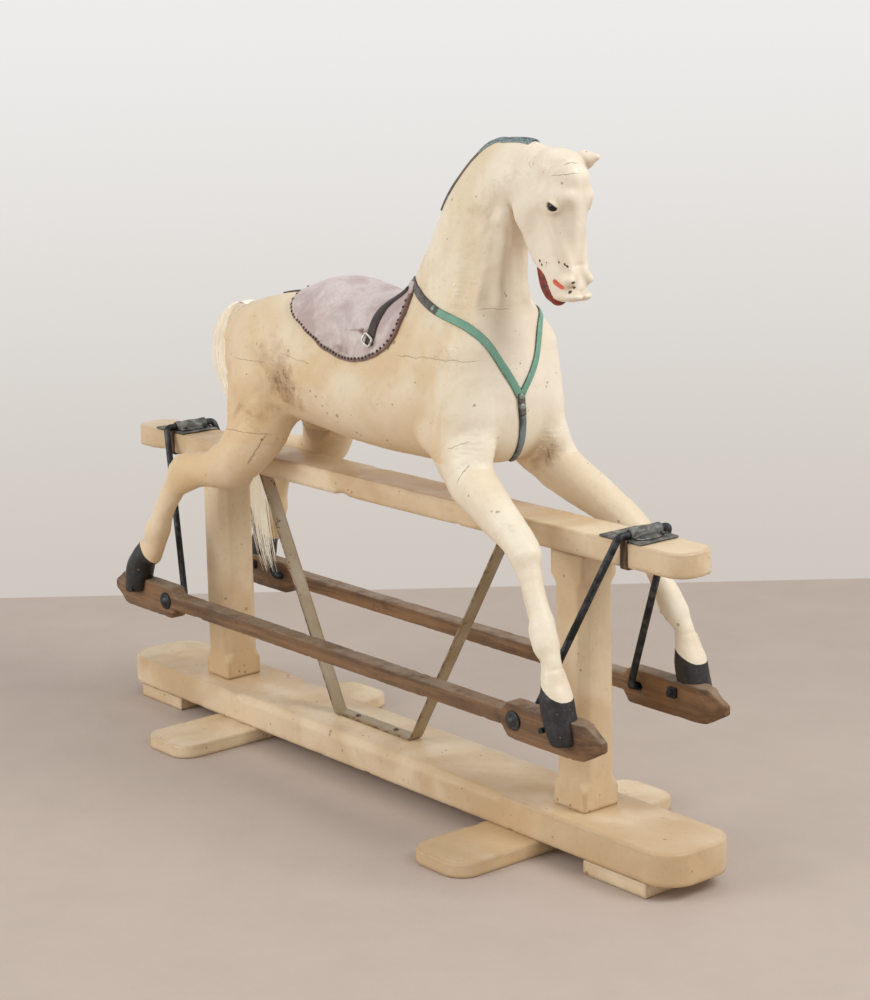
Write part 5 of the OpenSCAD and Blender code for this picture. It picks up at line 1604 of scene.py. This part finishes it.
class HORSE_OT_leather(bpy.types.Operator):
    """Saddle with its tacks, breast strap, stirrup leathers with buckles, crupper strap and mane strip."""

    bl_idname = "rocking_horse.leather"
    bl_label = "Saddle and straps"

    def execute(self, context):
        settings = context.scene.horse_tack
        brown = leather("dark_leather", "2e1f1a", "1c1310", "4d3b31")
        seat = self.saddle(settings)
        self.breast_strap(half_lump(whole, (70, 0, 290), (350, 112, 600), 2.3), settings)
        for side, name in ((-1, "right"), (1, "left")):
            self.stirrup_leather(seat, side, name, brown)
        self.buckles(seat)
        rump = half_lump(whole, (-280, 0, 470), (-170, 50, 560), 2.3)
        crupper = [(-248, 0, 522), (-232, 0, 525), (-214, 0, 530), (-196, 0, 531)]
        ribbon(rump, rounded_path(crupper, 4), 10, 2.5, "crupper_leather", brown, ("crupper_strap",))
        self.mane(half_lump(neck, (90, 0, 600), (372, 40, 806), 2.3))
        return {"FINISHED"}

    MIDDLE = (0.0, 520.0)
    EDGE = [(-170, 600), (-171, 546), (-163, 528), (-136, 507), (-92, 489), (-48, 470), (-10, 457), (20, 451),
            (52, 451), (88, 459), (118, 473), (137, 492), (143, 512), (140, 532), (132, 556), (126, 600)]

    @classmethod
    def outline(cls, p):
        """Distance to the saddle's outline in the side view, a reach that changes with the angle round its middle."""
        x, z = p[0], p[2]
        corners = np.array(cls.EDGE, float) - cls.MIDDLE
        angle = np.arctan2(corners[:, 0], -corners[:, 1])
        reach = np.hypot(corners[:, 0], corners[:, 1])
        dx, dz = x - cls.MIDDLE[0], z - cls.MIDDLE[1]
        turn = np.arctan2(dx, -dz)
        return 0.9 * (np.hypot(dx, dz) - gentle(angle, reach, turn.ravel()).reshape(turn.shape))

    @classmethod
    def stuffing(cls, p):
        """The back's form grown by the seat's thickness and domed, creased where the flap leaves the seat."""
        field = soft_min(whole(p) - 5.0, egg(p, [-62, 0, 470], [150, 80, 90]), 20)
        crease = rod((p[0], np.abs(p[1]), p[2]), (-20, 96, 492), (64, 100, 499), 3.0, 2.6)
        return soft_max(field, -crease, 5)

    @classmethod
    def saddle(cls, settings):
        """The stuffed seat inside its outline, above the wood."""
        def seat_form(p):
            return soft_max(soft_max(cls.stuffing(p), cls.outline(p), 5), -whole(p) + 0.15, 1.0)

        def marks(points):
            p = tuple(points.T)
            rim = np.clip(1 + (cls.outline(p) + 2) / 8, 0, 1) * (points[:, 2] < 556)
            spot = sum(share * near(points, centre, radii) for share, centre, radii in (
                (1.0, (74, -97, 497), (20, 30, 9)), (0.6, (20, -97, 466), (60, 40, 13)),
                (0.45, (-60, -30, 552), (80, 24, 12)), (0.4, (96, -80, 480), (14, 40, 24)),
                (0.4, (-130, -60, 515), (24, 40, 20))))
            fold = np.exp(-((points[:, 2] - 492 - (points[:, 0] + 20) * 0.08) / 3.2) ** 2) * (points[:, 0] > -30)
            fold = fold * (points[:, 0] < 66) * (np.abs(points[:, 1]) > 74)
            return {"wear": np.clip(1.25 * rim + spot + 0.5 * fold, 0, 1)}

        carve("saddle_hide", seat_form, (-190, 0, 440), (142, 112, 572), 2.0, "horse", hide("saddle_hide"),
              ("saddle",), HORSE_AT, mirror=True, marks=marks, rough=0.5, seed=101)

        def outside(p):
            return soft_min(whole(p), soft_max(cls.stuffing(p), cls.outline(p), 5), 0.5)

        seat = half_lump(outside, (-200, 0, 430), (160, 118, 590), 2.3)
        cls.tacks(seat, settings)
        return seat

    @classmethod
    def tacks(cls, seat, settings):
        """Round tacks along the rim: points inside the outline by a set distance, carried in onto the saddle."""
        a = np.linspace(0, 2 * np.pi, 720, endpoint=False)
        centre = np.array((-10.0, 520.0))
        spread = np.linspace(10, 200, 191)
        ray = centre + spread[:, None, None] * np.stack([np.cos(a), np.sin(a)], axis=1)[None]
        inside = cls.outline((ray[..., 0], None, ray[..., 1])) < -5.5
        reach = spread[np.maximum(inside.sum(axis=0) - 1, 0)]
        rim = centre + reach[:, None] * np.stack([np.cos(a), np.sin(a)], axis=1)
        rim = rim[rim[:, 1] < 548]
        gap = np.r_[0, np.cumsum(np.linalg.norm(np.diff(rim, axis=0), axis=1))]
        rim = rim[np.searchsorted(gap, np.arange(0, gap[-1], settings.tack_gap))]
        heads = []
        for side in (-1, 1):
            start = np.stack([rim[:, 0], np.full(len(rim), side * 110.0), rim[:, 1]], axis=1)
            for _ in range(60):
                start[:, 1] -= side * np.clip(seat.read(start), 0, 12) * 0.8
            start = seat.settle(start[np.abs(seat.read(start)) < 2.5])
            for point, axis in zip(start, seat.outward(start)):
                heads.append(dome_rings(2.3, 1.5, point + HORSE_AT, axis, 8))
        dark = forged_iron("tack_iron", "2c2321", "5a4a42", "4a3026", 0.5)
        tube_piece("saddle_tacks", heads, "horse", dark)

    @staticmethod
    def breast_strap(back, settings):
        """The painted strap: two arms from the withers to the breast and one strap down between the legs, with round
        studs over the meeting points."""
        near_arm = [(104, -28, 574), (116, -38, 571), (132, -46, 566), (163, -58, 555), (194, -66, 545),
                    (219, -69, 538), (257, -72, 531), (287, -68, 519), (305, -56, 500), (318, -42, 474),
                    (326, -26, 446), (328, -14, 424)]
        far_arm = [(104, 28, 574), (160, 58, 556), (220, 68, 541), (270, 60, 533), (298, 46, 524), (311, 38, 510),
                   (322, 24, 478), (327, 6, 450), (329, -8, 432), (329, -13, 422)]
        low_strap = [(329, -13, 428), (329, -12, 414), (329, -9, 398), (327, -5, 380), (318, -1, 356), (304, 2, 336),
                     (290, 4, 322)]
        green = leather("green_leather", tuple(settings.strap), "6b9a86", "4a453c")
        dark = leather("strap_end_leather", "696660", "4a423d", "2d2624", 0.35)
        blue = leather("low_strap_leather", "75868a", "4d403c", "2e2725")
        w = settings.strap_width
        for name, line, low, high, material, stands, lift in (
                ("breast_strap_near_end", near_arm, 0.0, 0.4, dark, (), 0.5),
                ("breast_strap_near", near_arm, 0.38, 1.0, green, ("breast_strap",), 0.15),
                ("breast_strap_far_end", far_arm, 0.0, 0.26, dark, (), 0.5),
                ("breast_strap_far", far_arm, 0.25, 1.0, green, (), 0.9),
                ("breast_strap_joint", low_strap, 0.0, 0.3, dark, (), 1.5),
                ("breast_strap_low", low_strap, 0.2, 1.0, blue, (), 0.4)):
            path = rounded_path(line, 4)
            path = path[int(low * (len(path) - 1)):int(high * (len(path) - 1)) + 1]
            wide = w * (0.88 if "far" in name else 1.0)
            ribbon(back, path, wide, 2.4, name, material, stands, 0.3, lift)
        studs = []
        for spot in ((329, -13, 424), (329, -11, 409), (205, -67, 542)):
            point = rest_on(back, np.array([spot, spot, spot], float))[1:2]
            out = back.outward(point)[0]
            studs.append(dome_rings(4.8, 2.2, point[0] + out * 3.6 + HORSE_AT, out, 20))
        tube_piece("breast_studs", studs, "horse", forged_iron("stud_metal", "6e7a70", "9aa69c",
                                                               "6b6a60", 0.4), ("strap_studs",))

    @staticmethod
    def stirrup_leather(seat, side, name, material):
        """A leather that curves from the withers down the flap, with its free end under the buckle."""
        line = [(118, side * 36, 557), (108, side * 40, 553), (91, side * 46, 545), (86, side * 57, 533),
                (85, side * 70, 519), (87, side * 81, 505), (89, side * 90, 491), (88, side * 93, 480)]
        path = rounded_path(line, 3.5)
        wide = np.interp(np.linspace(0, 1, len(path)), [0, 0.25, 0.5, 1], [9, 14, 19, 19])
        ribbon(seat, path, wide, 2.6, name + "_stirrup_strap", material, (name + "_stirrup_leather",),
               0.5, 0.3)

    @staticmethod
    def buckles(seat):
        """Bright wire buckles over the ends of the stirrup leathers: a closed wire round four rounded corners."""
        wires = []
        for side in (-1, 1):
            spot = rest_on(seat, np.array([(88, side * 92, 486)] * 3, float))[1:2]
            out = seat.outward(spot)[0]
            along = np.array((-0.4, 0, -1.0))
            along = unit(along - out * (along @ out))
            wide = np.cross(out, along)
            a = np.linspace(0, 2 * np.pi, 41)
            shape = np.stack([11 * np.sign(np.cos(a)) * np.abs(np.cos(a)) ** 0.4,
                              7.0 * np.sign(np.sin(a)) * np.abs(np.sin(a)) ** 0.4], axis=1)
            line = spot + out * 6.0 + shape[:, :1] * wide + shape[:, 1:] * along
            wires.append(round_rings(line + HORSE_AT, 1.6, 8, up=out))
        steel = forged_iron("buckle_steel", "cfccc6", "efece6", "a39a8c", 0.6)
        tube_piece("stirrup_buckles", wires, "horse", steel, ("leather_buckles",))

    @staticmethod
    def mane(back):
        """The leather strip on the crest, where the mane was nailed: dark below, tooled and blue-grey on top."""
        crest = [(166, -11, 676), (182, -11, 702), (200, -10, 724), (228, -8, 750), (264, -4, 774), (300, 0, 786),
                 (336, 0, 786), (352, 0, 782)]
        tooled = leather("mane_leather", "5f7175", "3b4548", "9aacac", 0.75)
        plain = leather("mane_strap_leather", "4c4641", "362f2b", "7d7167")
        path = rounded_path(crest, 4)
        turn = int(0.52 * len(path))
        ribbon(back, path[:turn + 2], 12, 2.5, "mane_leather_strap", plain, (), 0.6, 0.2)
        ribbon(back, path[turn:], 22, 2.7, "mane_leather_strip", tooled, ("mane_strip",), 0.6, 0.2)


class HORSE_OT_tail(bpy.types.Operator):
    """Wooden tail plug and the locks of white horsehair that hang from it."""

    bl_idname = "rocking_horse.tail"
    bl_label = "Tail"

    def execute(self, context):
        settings = context.scene.horse_tack
        self.plug()
        draw = np.random.default_rng(7)
        # The tail's middle line, and half its width along and across, at even steps from the plug to the tip
        guide = np.array([(-344, 0, 490), (-364, 0, 494), (-392, 0, 478), (-422, 1, 438), (-434, 4, 396),
                          (-436, 16, 350), (-436, 36, 300), (-438, 52, 250), (-436, 60, 180), (-424, 61, 80),
                          (-402, 61, 20)], float)
        spread = np.array([(5, 6), (10, 12), (14, 15), (18, 15), (19, 12), (20, 9), (20, 9), (24, 10), (25, 10),
                           (24, 9), (16, 6)], float)
        locks, shades = [], []
        rows, sides = 17, 3
        rail_top, clear = 275, 51  # below the top rail's upper face the hair hangs clear of the rail's side
        for _ in range(settings.strands):
            angle, out = draw.uniform(0, 2 * np.pi), np.sqrt(draw.uniform(0, 1))
            wisp = draw.uniform() < 0.12
            end = draw.uniform(0.3, 0.8) if draw.uniform() < 0.5 else draw.uniform(0.75, 1.0)
            t = np.linspace(0, end, rows)
            middle = gentle(np.linspace(0, 1, len(guide)), guide, t)
            room = gentle(np.linspace(0, 1, len(spread)), spread, t) * (1.25 if wisp else 1.0)
            wave = draw.uniform(0, 6.28, 2)
            sway = (1.0 + 4.0 * t) * (1.6 if wisp else 1.0)
            middle[:, 0] += out * np.cos(angle) * room[:, 0] + sway * np.sin(5 * t + wave[0])
            middle[:, 1] += out * np.sin(angle) * room[:, 1] + 0.5 * sway * np.sin(4 * t + wave[1]) * (t > 0.2)
            middle[:, 2] += 3 * out * np.sin(angle + 1.5)
            middle[:, 1] = np.where(middle[:, 2] < rail_top, np.maximum(middle[:, 1], clear), middle[:, 1])
            thick = draw.uniform(0.5, 1.0) * (1 - 0.75 * (t / end) ** 3)
            locks.append(round_rings(middle + HORSE_AT, thick, sides, up=(1, 0.2, 0)))
            shades.append(np.full(rows * sides + 2, draw.uniform()))
        tube_piece("tail_hair_locks", locks, "horse", glowing_white_hair(), ("tail_hair",),
                   {"shade": np.concatenate(shades)})
        return {"FINISHED"}

    @staticmethod
    def plug():
        """A turned plug that leans back from the dock."""
        profile = [(12, 4), (12.6, 5), (12.9, 30), (12.9, 40), (12.2, 43), (10.5, 45), (6, 45.8), (0.4, 46)]
        rings = turned(profile, 32, PLUG_AT + HORSE_AT, PLUG_AXIS)
        wood = bare_wood("plug_wood", "d5c29d", "b59d74", "e0d4ba", (1.0, 1.0, 0.2), 90.0)
        tube_piece("tail_plug_turned", [rings], "horse", wood, ("tail_plug",))


class HORSE_PT_panel(bpy.types.Panel):
    """Sidebar panel that lists the settings and the steps."""

    bl_idname = "HORSE_PT_panel"
    bl_label = "Rocking Horse"
    bl_space_type = "VIEW_3D"
    bl_region_type = "UI"
    bl_category = "Rocking Horse"

    def draw(self, context):
        for group in (context.scene.horse_stand, context.scene.horse_tack, context.scene.horse_stage):
            for key in type(group).__annotations__:
                self.layout.prop(group, key)
        for operator in OPERATORS:
            self.layout.operator(operator.bl_idname)


GROUPS_OF_SETTINGS = {"horse_stand": HORSE_PG_stand, "horse_tack": HORSE_PG_tack, "horse_stage": HORSE_PG_stage}
OPERATORS = (HORSE_OT_stage, HORSE_OT_stand, HORSE_OT_irons, HORSE_OT_hoof_rails, HORSE_OT_horse, HORSE_OT_leather,
             HORSE_OT_tail)
CLASSES = (*GROUPS_OF_SETTINGS.values(), *OPERATORS, HORSE_PT_panel)


def register():
    for cls in CLASSES:
        bpy.utils.register_class(cls)
    for name, cls in GROUPS_OF_SETTINGS.items():
        setattr(bpy.types.Scene, name, PointerProperty(type=cls))


def unregister():
    for name in GROUPS_OF_SETTINGS:
        delattr(bpy.types.Scene, name)
    for cls in reversed(CLASSES):
        bpy.utils.unregister_class(cls)


def main():
    """Makes every piece in order."""
    register()
    for operator in OPERATORS:
        space, name = operator.bl_idname.split(".")
        getattr(getattr(bpy.ops, space), name)()


if __name__ == "__main__":
    main()
